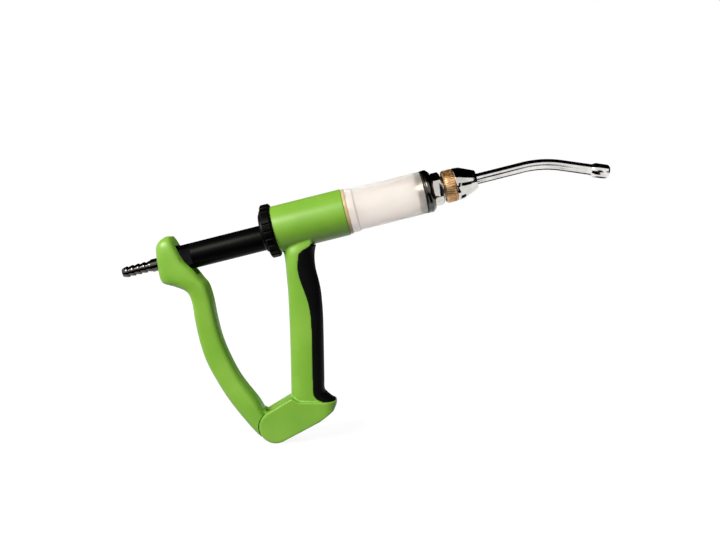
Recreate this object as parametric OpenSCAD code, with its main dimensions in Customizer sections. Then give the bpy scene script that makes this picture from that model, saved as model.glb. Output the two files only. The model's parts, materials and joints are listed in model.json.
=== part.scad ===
// Livestock drencher: a squeeze-handled dosing gun with a clear barrel,
// a hose inlet through its plunger and a bent nozzle.
// The origin is the middle of the hand grip, +X runs forward and +Z is up.
// Stations along the barrel's axis are counted from the point above the origin.

/* [Barrel] */
// Rise of the barrel from level, in degrees
barrel_tilt = 14; // [8:1:18]
// Height of the barrel's axis above the grip's middle
axis_height = 77; // [74:1:84]
// Bore of the clear barrel
barrel_bore = 27; // [26:0.5:29]
// Wall of the clear barrel
barrel_wall = 2; // [1.75:0.25:3]
// Length of barrel that shows between gasket and front seal
barrel_visible = 56.5; // [54:0.5:66]
// Length of barrel held inside the housing
barrel_spigot = 14; // [10:0.5:16]
// Length of the lip at the barrel's rear
lip_length = 5; // [3:0.5:8]
// How far the lip stands out from the barrel
lip_rise = 0.75; // [0.5:0.25:1.5]
// Thickness of the gasket behind the lip
gasket_thick = 2.5; // [1.5:0.5:4]
// How far the gasket stands out from the barrel
gasket_rise = 1.25; // [1:0.25:1.75]

/* [Housing] */
// Length of the housing round the barrel's rear
housing_length = 53.5; // [50:0.5:58]
// Station of the housing's front face
housing_front = 30; // [28:0.5:32]
// Wall of the housing outside the barrel
housing_wall = 1.75; // [1.5:0.25:3]

/* [Plunger] */
// Travel of the plunger for one full dose
stroke = 52; // [46:1:54]
// Room left ahead of the piston at full travel
end_gap = 3; // [2:0.5:5]
// Outer diameter of the plunger tube
tube_od = 19; // [17:0.5:19.5]
// Drop of the plunger's axis below the barrel's axis
plunger_drop = 3.7; // [0:0.1:3.7]
// Wall of the plunger tube
tube_wall = 2.5; // [2:0.25:3]
// Length of the piston
piston_length = 10; // [9:0.5:13]
// Length of the plugs pressed into the tube's ends
plug_length = 9; // [6:0.5:12]

/* [Guide bush and dose ring] */
// Step from the barrel's outside down to the bush's outside
bush_step = 1; // [0.8:0.1:1.1]
// Length of bush inside the housing, behind its flange
bush_length = 23.5; // [18:0.5:26]
// Length of the bush's flange
bush_flange = 3; // [2:0.5:4]
// Length of the dose ring
ring_length = 7; // [5:0.5:9]
// How far the dose ring stands out from the housing
ring_rise = 2.75; // [2:0.25:4]
// Number of finger grips round the dose ring
ring_grips = 24; // [12:2:30]
// Thickness of the clip that holds the dose ring
clip_thick = 1.2; // [1:0.1:2]
// How far the clip stands out from the bush
clip_rise = 1.5; // [1:0.25:2]

/* [Front end] */
// Thickness of the flat seal on the barrel's front
seal_thick = 1; // [0.5:0.25:2]
// Length of the cap's flange
cap_length = 6; // [4:0.5:9]
// How far the cap stands out from the barrel
cap_rise = 0.3; // [0.1:0.05:1.5]
// Chamfer round the cap's front
cap_chamfer = 2.5; // [1:0.25:3]
// Length of the cap's spigot inside the barrel
cap_spigot = 5; // [4:0.5:8]
// Width across flats of the hex union
hex_flats = 21; // [19:0.5:23]
// Length of the hex union
hex_length = 7; // [5:0.5:10]
// Diameter of the union's threaded ends
union_thread = 17; // [16:0.5:18]
// Bore of the delivery valve's chamber
chamber_bore = 12; // [11:0.25:12.5]
// Length of the valve chamber
chamber_length = 25; // [23:0.5:30]
// Groove between hex and lock ring
ring_groove = 1.5; // [1:0.25:2]
// Length of the brass lock ring
lock_length = 8.5; // [7:0.5:9.5]
// Diameter of the brass lock ring
lock_d = 24; // [22:0.5:26]
// Length of the cone nut
nut_length = 16; // [15:0.5:20]
// Diameter of the cone nut's rear end
nut_d = 24; // [22:0.5:26]
// Diameter of the cone nut's front end
nut_tip_d = 13.4; // [11:0.2:15]

/* [Valves] */
// Thickness of the delivery valve's rubber seat
seat_thick = 2; // [1.5:0.25:3]
// Thickness of both valve discs
disc_thick = 1.5; // [1:0.25:2]
// Lift of both valves
valve_lift = 1.5; // [1:0.1:1.7]
// Bore that each valve closes
valve_port = 7; // [5:0.5:8]
// Length of the delivery valve's guide wings
wing_length = 5; // [4:0.5:7]
// Thickness of the guide wings
wing_thick = 1.6; // [1.2:0.2:2]

/* [Nozzle] */
// Outer diameter of the nozzle tube
nozzle_od = 8; // [7.5:0.1:9]
// Wall of the nozzle tube
nozzle_wall = 1.2; // [1:0.1:1.5]
// Straight run from the cone nut to the bend
nozzle_straight = 35; // [30:1:60]
// Radius of the bend at the tube's middle
bend_radius = 75; // [50:1:100]
// Angle of the bend
bend_angle = 22; // [10:1:30]
// Straight run from the bend to the tip's end
nozzle_reach = 33.5; // [25:0.5:60]
// Diameter of the tip sleeve
tip_d = 10.6; // [10:0.1:12]
// Length of the tip sleeve
tip_length = 13; // [9:0.5:18]
// Thickness of the nozzle's flange inside the nut
flange_thick = 2; // [1.5:0.25:3]

/* [Rear coupling and hose tail] */
// Station of the trunnion pins, behind the origin
trunnion_back = 100; // [97:0.5:103]
// Diameter of the trunnion pins
trunnion_d = 6; // [5:0.5:7]
// Width across the coupling's flats
coupling_flats = 15; // [14:0.5:16]
// Reach of the coupling ahead of the trunnions
coupling_front = 12; // [10:0.5:13]
// Reach of the coupling's flats behind the trunnions
coupling_rear = 3.5; // [3:0.5:5]
// Diameter of the coupling's rear neck
neck_d = 13; // [12:0.5:14]
// Length of the coupling's rear neck
neck_length = 6.5; // [6:0.5:9]
// Feed bore through coupling and hose tail
feed_bore = 4.4; // [3.5:0.1:5]
// Crest diameter of the barbs, the hose's fitting size
barb_d = 8.2; // [7.5:0.1:9.5]
// Depth of the barbs
barb_depth = 0.9; // [0.5:0.1:1.1]
// Spacing of the barbs
barb_pitch = 4.5; // [4:0.25:7]
// Number of barbs
barb_count = 5; // [3:1:7]
// Diameter of the tail's plain shank
shank_d = 9.6; // [8.5:0.1:11]
// Length of the tail's plain shank
shank_length = 6.3; // [4:0.1:10]
// Land on each barb's crest
barb_land = 1.2; // [0.8:0.1:2]

/* [Handle] */
// Width of the handle and its pad
grip_width = 23; // [20:0.5:25]
// Depth of the handle with its pad
grip_depth = 25; // [23:0.5:27]
// Height of the handle above the grip's middle
handle_rise = 58; // [56:1:62]
// Depth of the handle below the grip's middle
handle_drop = 57; // [53:1:61]

/* [Foot and lever] */
// Reach of the foot's toe ahead of the grip's middle
toe_reach = 22.5; // [21.5:0.5:25]
// Distance of the lever's pivot behind the origin
pivot_back = 23.5; // [21:0.5:26]
// Distance of the pivot below the handle's end
pivot_drop = 19; // [17:0.5:21]
// Width of the foot
foot_width = 26; // [24:0.5:30]
// Thickness of the foot's two cheeks
cheek_thick = 5; // [4:0.5:6]
// Radius of the cheeks round the pivot
cheek_r = 12.5; // [11.5:0.5:14]
// Diameter of the pivot pin
pin_d = 5; // [4:0.5:6]
// Wall of the bushes in the lever's lugs
lever_bush_wall = 1.5; // [1:0.25:2]
// Thickness of the lever's two lugs
lug_thick = 3.7; // [3:0.1:3.9]
// Width of the lever along its arm
lever_width = 18; // [16:0.5:21]
// Depth of the lever at its head
lever_depth = 20; // [19:0.5:21]
// Wall of the lever's head beside the coupling
head_cheek = 4.6; // [4:0.1:6]
// Room beside each trunnion for the lever's arc
slot_room = 0.7; // [0.6:0.1:1]

/* [Clearances] */
// Radial clearance of running fits
running_gap = 0.05; // [0.02:0.01:0.1]
// Clearance between faces that pass each other
side_gap = 0.3; // [0.2:0.05:0.5]

/* [Hidden] */

// Colours of the moulded and metal pieces
green = [0.46, 0.72, 0.22];
black = [0.05, 0.05, 0.06];
milky = [0.93, 0.9, 0.89, 0.7];
amber = [0.62, 0.45, 0.3];
chrome = [0.8, 0.81, 0.83];
steel = [0.66, 0.67, 0.69];
dark_nickel = [0.3, 0.3, 0.29];
black_steel = [0.12, 0.12, 0.13];
brass = [0.83, 0.65, 0.37];
rubber = [0.16, 0.16, 0.17];
acetal = [0.9, 0.9, 0.87];

round_fn = 96;
edge = 0.8;             // chamfer on turned edges
bite = 1;               // overrun of a cut past its face

// Barrel and housing radii, and the stations of their faces
bore_r = barrel_bore / 2;
barrel_r = bore_r + barrel_wall;
housing_r = barrel_r + housing_wall;
lip_at = housing_front + gasket_thick;
barrel_front = lip_at + barrel_visible;
housing_rear = housing_front - housing_length;
spigot_at = housing_front - barrel_spigot;

// Front end stations
cap_at = barrel_front + seal_thick;
cap_rear = cap_at - seal_thick - cap_spigot;
hex_at = cap_at + cap_length;
hex_front = hex_at + hex_length;
lock_at = hex_front + ring_groove;
nut_at = lock_at + lock_length;
nut_front = nut_at + nut_length;
chamber_front = hex_at + chamber_length;
union_r = union_thread / 2;
chamber_r = chamber_bore / 2;
port_r = valve_port / 2;
nozzle_r = nozzle_od / 2;
nozzle_bore_r = nozzle_r - nozzle_wall;
flange_lap = 0.5;       // overlap of the nozzle flange on the union
flange_r = chamber_r + flange_lap;
washer_thick = 1;
flange_at = chamber_front + washer_thick + running_gap;
flange_front = flange_at + flange_thick;

// Plunger stations and radii
tube_r = tube_od / 2;
tube_bore_r = tube_r - tube_wall;
piston_front = cap_rear - end_gap - stroke;
piston_rear = piston_front - piston_length;
trunnion_at = -trunnion_back;
tube_rear = trunnion_at + coupling_front;
neck_at = trunnion_at - coupling_rear;
neck_rear = neck_at - neck_length;
retainer_thick = 1.2;
closed_spring = 1.8;    // room for the inlet spring when it is pressed flat
recess_depth = disc_thick + valve_lift + closed_spring + retainer_thick;
piston_wall = 2.8;      // least wall of the piston beside its recess
recess_r = bore_r - plunger_drop - piston_wall;
recess_floor = piston_front - recess_depth;
stem_r = 1.5;

// Guide bush and dose ring
bush_r = barrel_r - bush_step;
bush_flange_r = (bush_r + barrel_r) / 2;
bush_flange_at = housing_rear + bush_length;
ring_rear = housing_rear - ring_length;
clip_front = ring_rear - side_gap;
clip_rear = clip_front - clip_thick;
bush_rear = clip_rear - clip_thick;
clip_groove = 0.6;

// Hose tail stations
collar_thick = 2.4;
tail_washer_thick = 0.8;
collar_front = neck_rear - tail_washer_thick;
barbs_front = collar_front - collar_thick - shank_length;
tail_rear = barbs_front - barb_count * barb_pitch;
neck_wall = 2;          // wall of the coupling's neck round the tail's thread
tail_thread_r = neck_d / 2 - neck_wall;

// Points of the lever's mechanism in the plane of the gun, as [x, z]
function on_line(s, drop) = [
    s * cos(barrel_tilt) + drop * sin(barrel_tilt),
    axis_height + s * sin(barrel_tilt) - drop * cos(barrel_tilt)];
pivot = [-pivot_back, -handle_drop - pivot_drop];
trunnion = on_line(trunnion_at, plunger_drop);
arm = trunnion - pivot;
arm_length = norm(arm);
arm_angle = atan2(arm[1], arm[0]);
axis_normal = [-sin(barrel_tilt), cos(barrel_tilt)];
pivot_to_axis = (trunnion - pivot) * axis_normal;
radial_travel = arm_length - pivot_to_axis;

// Clevis, tongue and lugs round the pivot
clevis_half = foot_width / 2 - cheek_thick;
lug_outer = clevis_half - side_gap;
lug_inner = lug_outer - lug_thick;
lug_relief = 1;         // lugs smaller than the cheeks
slot_room_r = 2.5;      // room round the lugs in the clevis
shoulder_gap = 0.5;     // gap between the cheeks and the lever's shoulder
lug_r = cheek_r - lug_relief;
slot_r = cheek_r + slot_room_r;
shoulder_r = cheek_r + shoulder_gap;
pin_r = pin_d / 2;
lever_bush_r = pin_r + running_gap + lever_bush_wall;
pin_stop = 2;           // skin left over the pin on the near side
pin_head_rise = 2;
pin_head_r = pin_r + pin_head_rise;
pin_head_thick = 1.5;

// Head of the lever
tunnel_half = coupling_flats / 2 + side_gap;
head_half = tunnel_half + head_cheek;
lever_half = lever_width / 2;
slot_share = 0.6;       // depth of the trunnion's slot in the head's cheek
trunnion_reach = tunnel_half + head_cheek * slot_share;
tunnel_top = tube_r + 2 * side_gap;

// Rows of the lever from its pivot to its head: share of the way from pivot to trunnion,
// outer edge [x, z] and inner edge [x, z] from that point as shares of the lever's depth,
// and how much of the head's width
lever_rows = [
    [0, -0.325, -0.55, -0.35, 0.4, 1],
    [0, -0.675, -0.35, -0.46, 0.55, 1],
    [0.1, -0.85, -0.375, -0.325, 0.325, 0.85],
    [0.2, -1.05, -0.275, -0.3, 0.15, 0.5],
    [0.3, -1.125, -0.2, -0.3, 0.05, 0.2],
    [0.42, -1.075, -0.2, -0.225, 0.025, 0],
    [0.54, -0.875, -0.2, -0.05, -0.05, 0],
    [0.66, -0.6, -0.125, 0.2, -0.05, 0.15],
    [0.78, -0.25, -0.225, 0.5, -0.075, 0.35],
    [0.9, 0, -0.575, 0.775, -0.3, 0.6],
    [1, -0.125, -1, 0.925, -0.65, 0.85],
    [1, -0.6, -0.85, 0.7, -0.35, 1],
    [1, -0.725, -0.2, 0.375, -0.05, 1],
    [1, -0.75, 0.375, 0.1, 0.4, 1],
    [1, -0.64, 0.65, -0.05, 0.675, 0.6],
    [1, -0.38, 0.85, -0.175, 0.85, -0.3]];

// Rows of the handle from the top down: share of its rise (over 0) or drop (under 0), then as
// shares of its depth: back edge from the housing's heel, border of the pad and front of the pad
heel = on_line(housing_rear, housing_r);
root_share = 0.765;     // how far down the housing's round the handle's top lies
top_share = (axis_height - housing_r * root_share) / handle_rise;
handle_rows = [
    [top_share, 0.025, 0.16, 0.32],
    [1.035, 0.045, 0.14, 0.28],
    [0.94, 0.081, -0.168, 0.244],
    [0.84, 0.113, -0.216, 0.24],
    [0.72, 0.137, -0.22, 0.276],
    [0.58, 0.161, -0.144, 0.36],
    [0.45, 0.185, -0.032, 0.42],
    [0.3, 0.197, 0.08, 0.456],
    [0.14, 0.213, 0.144, 0.48],
    [-0.07, 0.225, 0.172, 0.492],
    [-0.35, 0.237, 0.184, 0.5],
    [-0.7, 0.245, 0.192, 0.508],
    [-0.86, 0.249, 0.196, 0.516],
    [-0.92, 0.249, 0.232, 0.62],
    [-0.965, 0.249, 0.32, 0.74],
    [-1, 0.249, 0.5, 0.86]];
pad_top_row = 1;        // the pad starts at this row

// Curve through a list of rows, with extra rows worked out between them
function row_at(p, i) = p[max(0, min(len(p) - 1, i))];
function curve(a, b, c, d, t) =
    0.5 * (2 * b + (c - a) * t + (2 * a - 5 * b + 4 * c - d) * t * t
    + (3 * b - a - 3 * c + d) * t * t * t);
function smooth(p, steps) = [
    for (i = [0:len(p) - 2], k = [0:steps - 1])
        curve(row_at(p, i - 1), p[i], p[i + 1], row_at(p, i + 2), k / steps),
    p[len(p) - 1]];

// Rounded cross-sections and the skin that joins a row of them
function squared(v, power) = sign(v) * pow(abs(v), 2 / power);
function skin(rows, n) = [
    for (i = [0:rows - 2], j = [0:n - 1])
        let (a = i * n + j, b = i * n + (j + 1) % n)
        each [[a, a + n, b], [b, a + n, b + n]],
    for (j = [1:n - 2])
        each [[0, j, j + 1], [(rows - 1) * n, (rows - 1) * n + j + 1, (rows - 1) * n + j]]];

lever_power = 3.6;
lever_sides = 28;
function lever_ring(row) =
    let (base = pivot + arm * row[0],
        outer = base + lever_depth * [row[1], row[2]],
        inner = base + lever_depth * [row[3], row[4]],
        middle = (outer + inner) / 2,
        reach = (inner - outer) / 2,
        half = lever_half + (head_half - lever_half) * row[5])
    [for (j = [0:lever_sides - 1])
        let (t = 360 * j / lever_sides, p = middle + reach * squared(cos(t), lever_power))
        [p[0], half * squared(sin(t), lever_power), p[1]]];

handle_power = 2.6;
handle_sides = 18;
function handle_z(share) = share > 0 ? share * handle_rise : share * handle_drop;
// One side of the handle's section: edge column 1 is the back, column 3 the pad's front
function handle_ring(row, column) =
    let (border = grip_depth * row[2],
        edge_x = grip_depth * row[column] + (column == 1 ? heel[0] : 0))
    [for (j = [0:handle_sides])
        let (turn = column == 1 ? 1 : -1, t = turn * (180 * j / handle_sides - 90))
        [border + (edge_x - border) * squared(cos(t), handle_power),
        grip_width / 2 * squared(sin(t), handle_power), handle_z(row[0])]];

module loft(rings) {
    sides = len(rings[0]);
    polyhedron([for (ring = rings) each ring], skin(len(rings), sides), convexity = 6);
}

// Wire coil round local Z, with straight legs along its ends' tangents
wire_sides = 6;
rings_per_turn = 10;
module coil(mean_r, from, to, length, wire_r, leg_from = 0, leg_to = 0) {
    count = ceil((to - from) / 360 * rings_per_turn);
    function ring(angle, z, shift) = [
        for (k = [0:wire_sides - 1])
            let (t = 360 * k / wire_sides, r = mean_r + wire_r * cos(t))
            [r * cos(angle) - shift * sin(angle), r * sin(angle) + shift * cos(angle),
            z + wire_r * sin(t)]];
    turns = [for (i = [0:count]) ring(from + (to - from) * i / count, length * i / count, 0)];
    start = leg_from > 0 ? [ring(from, 0, -leg_from)] : [];
    end = leg_to > 0 ? [ring(to, length, leg_to)] : [];
    loft(concat(start, turns, end));
}

// Frame of the barrel's axis: local Z runs forward along it, local X points down
module on_axis(station = 0) {
    translate([0, 0, axis_height]) rotate([0, 90 - barrel_tilt, 0])
        translate([0, 0, station]) children();
}

// The same frame on the plunger's axis, which lies lower
module on_plunger(station = 0) {
    on_axis(station) translate([plunger_drop, 0, 0]) children();
}

// Solid of revolution from [radius, station] points, round the child frame's local Z
module turned(profile) {
    rotate_extrude($fn = round_fn) polygon(profile);
}

module ring_at(inner, outer, from, to) {
    turned([[inner, from], [outer, from], [outer, to], [inner, to]]);
}

// Extrusion of an [x, z] outline across the gun
module across(width) {
    rotate([90, 0, 0]) linear_extrude(width, center = true) children();
}

// Round bar or hole across the gun, between two values of y
module cross_pin(at, r, from, to) {
    translate([at[0], from, at[1]]) rotate([-90, 0, 0]) cylinder(r = r, h = to - from, $fn = round_fn);
}

module body_frame() {
    rows = smooth(handle_rows, 2);
    color(green) difference() {
        union() {
            on_axis(housing_rear) cylinder(r = housing_r, h = housing_length, $fn = round_fn);
            loft([for (row = rows) handle_ring(row, 1)]);
            intersection() {
                across(foot_width + 2 * bite) polygon(foot_outline());
                translate([0, 0, pivot[1] - 2 * cheek_r])
                    linear_extrude(2 * cheek_r + 2 * pivot_drop) polygon(foot_plan());
            }
            cross_pin(pivot, cheek_r, -foot_width / 2, foot_width / 2);
        }
        on_axis(spigot_at) cylinder(r = barrel_r, h = barrel_spigot + bite, $fn = round_fn);
        on_axis(bush_flange_at)
            cylinder(r = bush_flange_r, h = spigot_at - bush_flange_at + bite, $fn = round_fn);
        on_axis(housing_rear - bite) cylinder(r = bush_r, h = bush_length + 2 * bite, $fn = round_fn);
        cross_pin(pivot, slot_r, -clevis_half, clevis_half);
        cross_pin(pivot, pin_r, -foot_width / 2 + pin_stop, foot_width / 2 + bite);
    }
}

// Side view of the foot, from the pivot forward to the toe and back underneath,
// in shares of the toe's reach and of the pivot's drop below the handle's end
foot_rows = [
    [-0.5, 0.16], [-0.27, 0], [0.955, 0], [1, -0.105],
    [0.89, -0.37], [0.43, -0.79], [-0.22, -1.21]];
function foot_outline() = [
    pivot + cheek_r * [-0.55, 0.83],
    for (row = foot_rows) [toe_reach * row[0], pivot_drop * row[1] - handle_drop],
    pivot + cheek_r * [0.32, -0.94]];

// The foot from above: straight sides, and a toe that is round like the pad's end
toe_sides = 24;
function foot_plan() =
    let (start = grip_depth * handle_rows[len(handle_rows) - 1][2], rear = pivot[0] - cheek_r)
    [[rear, -foot_width / 2],
    for (j = [0:toe_sides])
        let (t = 180 * j / toe_sides - 90)
        [start + (toe_reach - start) * squared(cos(t), handle_power),
        foot_width / 2 * squared(sin(t), handle_power)],
    [rear, foot_width / 2]];

module grip_pad() {
    rows = smooth(handle_rows, 2);
    color(black) difference() {
        loft([for (i = [2 * pad_top_row:len(rows) - 1]) handle_ring(rows[i], 3)]);
        on_axis(housing_rear) cylinder(r = housing_r, h = housing_length, $fn = round_fn);
    }
}

module pivot_pin() {
    color(steel) {
        cross_pin(pivot, pin_r, -foot_width / 2 + pin_stop, foot_width / 2);
        cross_pin(pivot, pin_head_r, foot_width / 2, foot_width / 2 + pin_head_thick);
    }
}

// Torsion spring round the pin, between the lever's lugs
module return_spring() {
    wire_r = 0.65;
    coil_rise = 0.7;
    leg_inset = 2;
    full_turns = 3;
    foot_leg = 228;
    leg_spread = 81;
    lever_leg = foot_leg + full_turns * 360 + leg_spread;
    length = 2 * (lug_inner - wire_r - side_gap);
    color(steel) translate([pivot[0], length / 2, pivot[1]]) rotate([90, 0, 0])
        coil(lever_bush_r + coil_rise, foot_leg, lever_leg, length, wire_r,
            shoulder_r - leg_inset, slot_r - leg_inset);
}

// The bush is round with the housing, and its bore with the plunger
module guide_bush() {
    groove_r = bush_r - clip_groove;
    bush_front = bush_flange_at + bush_flange;
    color(black) difference() {
        on_axis() turned([
            [0, bush_rear], [bush_r - edge, bush_rear], [bush_r, bush_rear + edge],
            [bush_r, clip_rear], [groove_r, clip_rear], [groove_r, clip_front], [bush_r, clip_front],
            [bush_r, bush_flange_at], [bush_flange_r, bush_flange_at],
            [bush_flange_r, bush_front], [0, bush_front]]);
        on_plunger(bush_rear - bite)
            cylinder(r = tube_r + running_gap, h = bush_front - bush_rear + 2 * bite, $fn = round_fn);
    }
}

module dose_ring_clip() {
    inner = bush_r - clip_groove;
    mouth = bush_r;
    color(black_steel) difference() {
        on_axis() ring_at(inner, bush_r + clip_rise, clip_rear, clip_front);
        on_axis(clip_rear - bite) translate([0, -mouth / 2, 0])
            cube([2 * bush_r, mouth, clip_thick + 2 * bite]);
    }
}

module dose_ring() {
    outer = housing_r + ring_rise;
    inner = bush_r + running_gap;
    notch_r = 1.2;
    color(black) difference() {
        on_axis() turned([[inner, ring_rear], [outer - edge, ring_rear], [outer, ring_rear + edge],
            [outer, housing_rear - side_gap - edge], [outer - edge, housing_rear - side_gap],
            [inner, housing_rear - side_gap]]);
        on_axis(ring_rear - bite) for (i = [0:ring_grips - 1])
            rotate(360 * i / ring_grips) translate([outer + notch_r / 3, 0, 0])
                cylinder(r = notch_r, h = ring_length + 2 * bite, $fn = 24);
    }
}

module barrel() {
    color(milky) on_axis() turned([
        [bore_r, spigot_at], [barrel_r, spigot_at], [barrel_r, lip_at], [barrel_r + lip_rise, lip_at],
        [barrel_r + lip_rise, lip_at + lip_length], [barrel_r, lip_at + lip_length + lip_rise],
        [barrel_r, barrel_front], [bore_r, barrel_front]]);
}

module barrel_gasket() {
    color(amber) on_axis() ring_at(barrel_r, barrel_r + gasket_rise, housing_front, lip_at);
}

module front_cap() {
    outer = barrel_r + cap_rise;
    color(dark_nickel) on_axis() turned([
        [union_r, cap_rear], [bore_r, cap_rear], [bore_r, cap_at], [outer, cap_at],
        [outer, hex_at - cap_chamfer], [outer - cap_chamfer, hex_at], [union_r, hex_at]]);
}

module front_cap_seal() {
    color(rubber) on_axis() ring_at(bore_r, barrel_r, barrel_front, cap_at);
}

// Hex union with the delivery valve's chamber inside its front thread
module valve_body() {
    color(chrome) difference() {
        union() {
            on_axis(hex_at) cylinder(d = hex_flats / cos(30), h = hex_length, $fn = 6);
            on_axis(cap_rear) cylinder(r = union_r, h = chamber_front - cap_rear, $fn = round_fn);
        }
        on_axis(cap_rear - bite) cylinder(r = port_r, h = hex_at - cap_rear + 2 * bite, $fn = round_fn);
        on_axis(hex_at) cylinder(r = chamber_r, h = chamber_length + bite, $fn = round_fn);
    }
}

module delivery_seat() {
    color(rubber) on_axis() ring_at(port_r, chamber_r, hex_at, hex_at + seat_thick);
}

delivery_rest = hex_at + seat_thick + running_gap;
module delivery_valve() {
    wing_r = chamber_r - running_gap;
    seat_lap = 1;
    color(acetal) on_axis(delivery_rest) {
        cylinder(r = port_r + seat_lap, h = disc_thick, $fn = round_fn);
        intersection() {
            cylinder(r = wing_r, h = disc_thick + wing_length, $fn = round_fn);
            for (a = [0, 120, 240]) rotate(a) translate([0, -wing_thick / 2, 0])
                cube([chamber_bore, wing_thick, disc_thick + wing_length]);
        }
    }
}

module delivery_spring() {
    wire_r = 0.45;
    turns = 5;
    wall_room = 1.8;
    from = delivery_rest + disc_thick + wing_length + wire_r + running_gap;
    length = chamber_front - wire_r - running_gap - from;
    color(steel) on_axis(from) coil(chamber_r - wall_room, 0, turns * 360, length, wire_r);
}

module lock_ring() {
    outer = lock_d / 2;
    color(brass) on_axis() turned([
        [union_r, lock_at], [outer - edge, lock_at], [outer, lock_at + edge],
        [outer, nut_at - edge], [outer - edge, nut_at], [union_r, nut_at]]);
}

module nozzle_nut() {
    rear = nut_d / 2;
    tip = nut_tip_d / 2;
    collar_share = 0.3;
    collar_taper = 0.4;
    shoulder = nut_at + nut_length * collar_share;
    inner = flange_r + running_gap;
    color(chrome) on_axis() turned([
        [union_r, nut_at], [rear, nut_at], [rear - collar_taper, shoulder],
        [tip, nut_front], [nozzle_r + running_gap, nut_front],
        [nozzle_r + running_gap, flange_front + running_gap], [inner, flange_front + running_gap],
        [inner, chamber_front], [union_r, chamber_front]]);
}

module nozzle_seal() {
    color(rubber) on_axis() ring_at(nozzle_bore_r, flange_r, chamber_front, chamber_front + washer_thick);
}

bend_at = nut_front + nozzle_straight;
// Frame at the end of the nozzle's bend, with local Z along the tube
module past_bend() {
    on_axis(bend_at) translate([bend_radius, 0, 0]) rotate([0, bend_angle, 0])
        translate([-bend_radius, 0, 0]) children();
}

// The tube's route at one radius: two straight runs that lap over the ends of the bend
module nozzle_run(r, overrun = 0) {
    lap = 2.5;
    lap_step = 0.08;
    on_axis(flange_at - overrun)
        cylinder(r = r, h = bend_at - flange_at + lap + overrun, $fn = round_fn);
    on_axis(bend_at) translate([bend_radius, 0, 0]) rotate([90, 0, 0]) rotate(180 - bend_angle)
        rotate_extrude(angle = bend_angle, $fn = round_fn)
            translate([bend_radius, 0]) circle(r - lap_step, $fn = round_fn);
    past_bend() translate([0, 0, -lap]) cylinder(r = r, h = nozzle_reach + lap + overrun, $fn = round_fn);
}

module nozzle_tube() {
    color(steel) difference() {
        union() {
            nozzle_run(nozzle_r);
            on_axis(flange_at) cylinder(r = flange_r, h = flange_thick, $fn = round_fn);
        }
        nozzle_run(nozzle_bore_r, bite);
    }
}

// Sleeve on the tube's end, with a tapered back and a rounded mouth
module nozzle_tip() {
    outer = tip_d / 2;
    mouth = 1.5;
    mouth_ease = 0.4;
    back = 2.5;
    back_rise = 0.2;
    from = nozzle_reach + mouth - tip_length;
    to = nozzle_reach + mouth;
    color(steel) past_bend() rotate_extrude($fn = round_fn) polygon([
        [nozzle_r, from], [nozzle_r + back_rise, from], [outer, from + back], [outer, to - mouth],
        [outer - mouth_ease, to - mouth / 3], [outer - 3 * mouth_ease, to], [nozzle_bore_r, to],
        [nozzle_bore_r, nozzle_reach], [nozzle_r, nozzle_reach]]);
}

module plunger_tube() {
    color(black) on_plunger() ring_at(tube_bore_r, tube_r, tube_rear, piston_rear);
}

seal_land = 2;
seal_width = 2.4;
seal_depth = 2;
seal_from = piston_rear + seal_land;
seal_to = seal_from + seal_width;
// The piston is round with the barrel, and its plug, port and valve with the plunger
module piston() {
    outer = bore_r - running_gap;
    plug_rear = piston_rear - plug_length;
    color(acetal) difference() {
        union() {
            on_axis() turned([
                [0, piston_rear], [outer, piston_rear], [outer, seal_from], [outer - seal_depth, seal_from],
                [outer - seal_depth, seal_to], [outer, seal_to], [outer, piston_front], [0, piston_front]]);
            on_plunger(plug_rear) cylinder(r = tube_bore_r, h = plug_length, $fn = round_fn);
        }
        on_plunger(plug_rear - bite) cylinder(r = port_r, h = plug_length + piston_length, $fn = round_fn);
        on_plunger(recess_floor) cylinder(r = recess_r, h = recess_depth + bite, $fn = round_fn);
    }
}

module piston_seal() {
    outer = bore_r - running_gap;
    color(rubber) on_axis() ring_at(outer - seal_depth, outer, seal_from, seal_to);
}

module inlet_retainer() {
    ports = 6;
    port_at = (recess_r + stem_r) / 2;
    hole_r = port_at / 3.5;
    color(acetal) difference() {
        on_plunger() ring_at(stem_r + running_gap, recess_r, piston_front - retainer_thick, piston_front);
        on_plunger(piston_front - retainer_thick - bite) for (i = [0:ports - 1])
            rotate(360 * i / ports) translate([port_at, 0, 0])
                cylinder(r = hole_r, h = retainer_thick + 2 * bite, $fn = 24);
    }
}

inlet_rest = recess_floor + running_gap;
module inlet_valve() {
    seat_lap = 1.5;
    disc_r = port_r + seat_lap;
    color(rubber) on_plunger() turned([
        [0, inlet_rest], [disc_r, inlet_rest], [disc_r, inlet_rest + disc_thick],
        [stem_r, inlet_rest + disc_thick], [stem_r, piston_front], [0, piston_front]]);
}

module inlet_spring() {
    wire_r = 0.3;
    turns = 2;
    stem_room = 1.2;
    from = inlet_rest + disc_thick + wire_r + running_gap;
    length = piston_front - retainer_thick - wire_r - running_gap - from;
    color(steel) on_plunger(from) coil(stem_r + stem_room, 0, turns * 360, length, wire_r);
}

// Steel block in the tube's end, with flats that run between the head's cheeks
module rear_coupling() {
    color(black_steel) difference() {
        union() {
            on_plunger(tube_rear) cylinder(r = tube_bore_r, h = plug_length, $fn = round_fn);
            on_plunger(neck_at) intersection() {
                cylinder(r = tube_r, h = tube_rear - neck_at, $fn = round_fn);
                translate([-tube_od, -coupling_flats / 2, 0])
                    cube([2 * tube_od, coupling_flats, tube_rear - neck_at]);
            }
            on_plunger(neck_rear) cylinder(d = neck_d, h = neck_length, $fn = round_fn);
        }
        on_plunger(neck_rear - bite)
            cylinder(d = feed_bore, h = tube_rear + plug_length - neck_rear + 2 * bite, $fn = round_fn);
        on_plunger(neck_rear - bite) cylinder(r = tail_thread_r, h = neck_length + bite, $fn = round_fn);
        for (side = [-1, 1]) trunnion_shank(side);
    }
}

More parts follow.
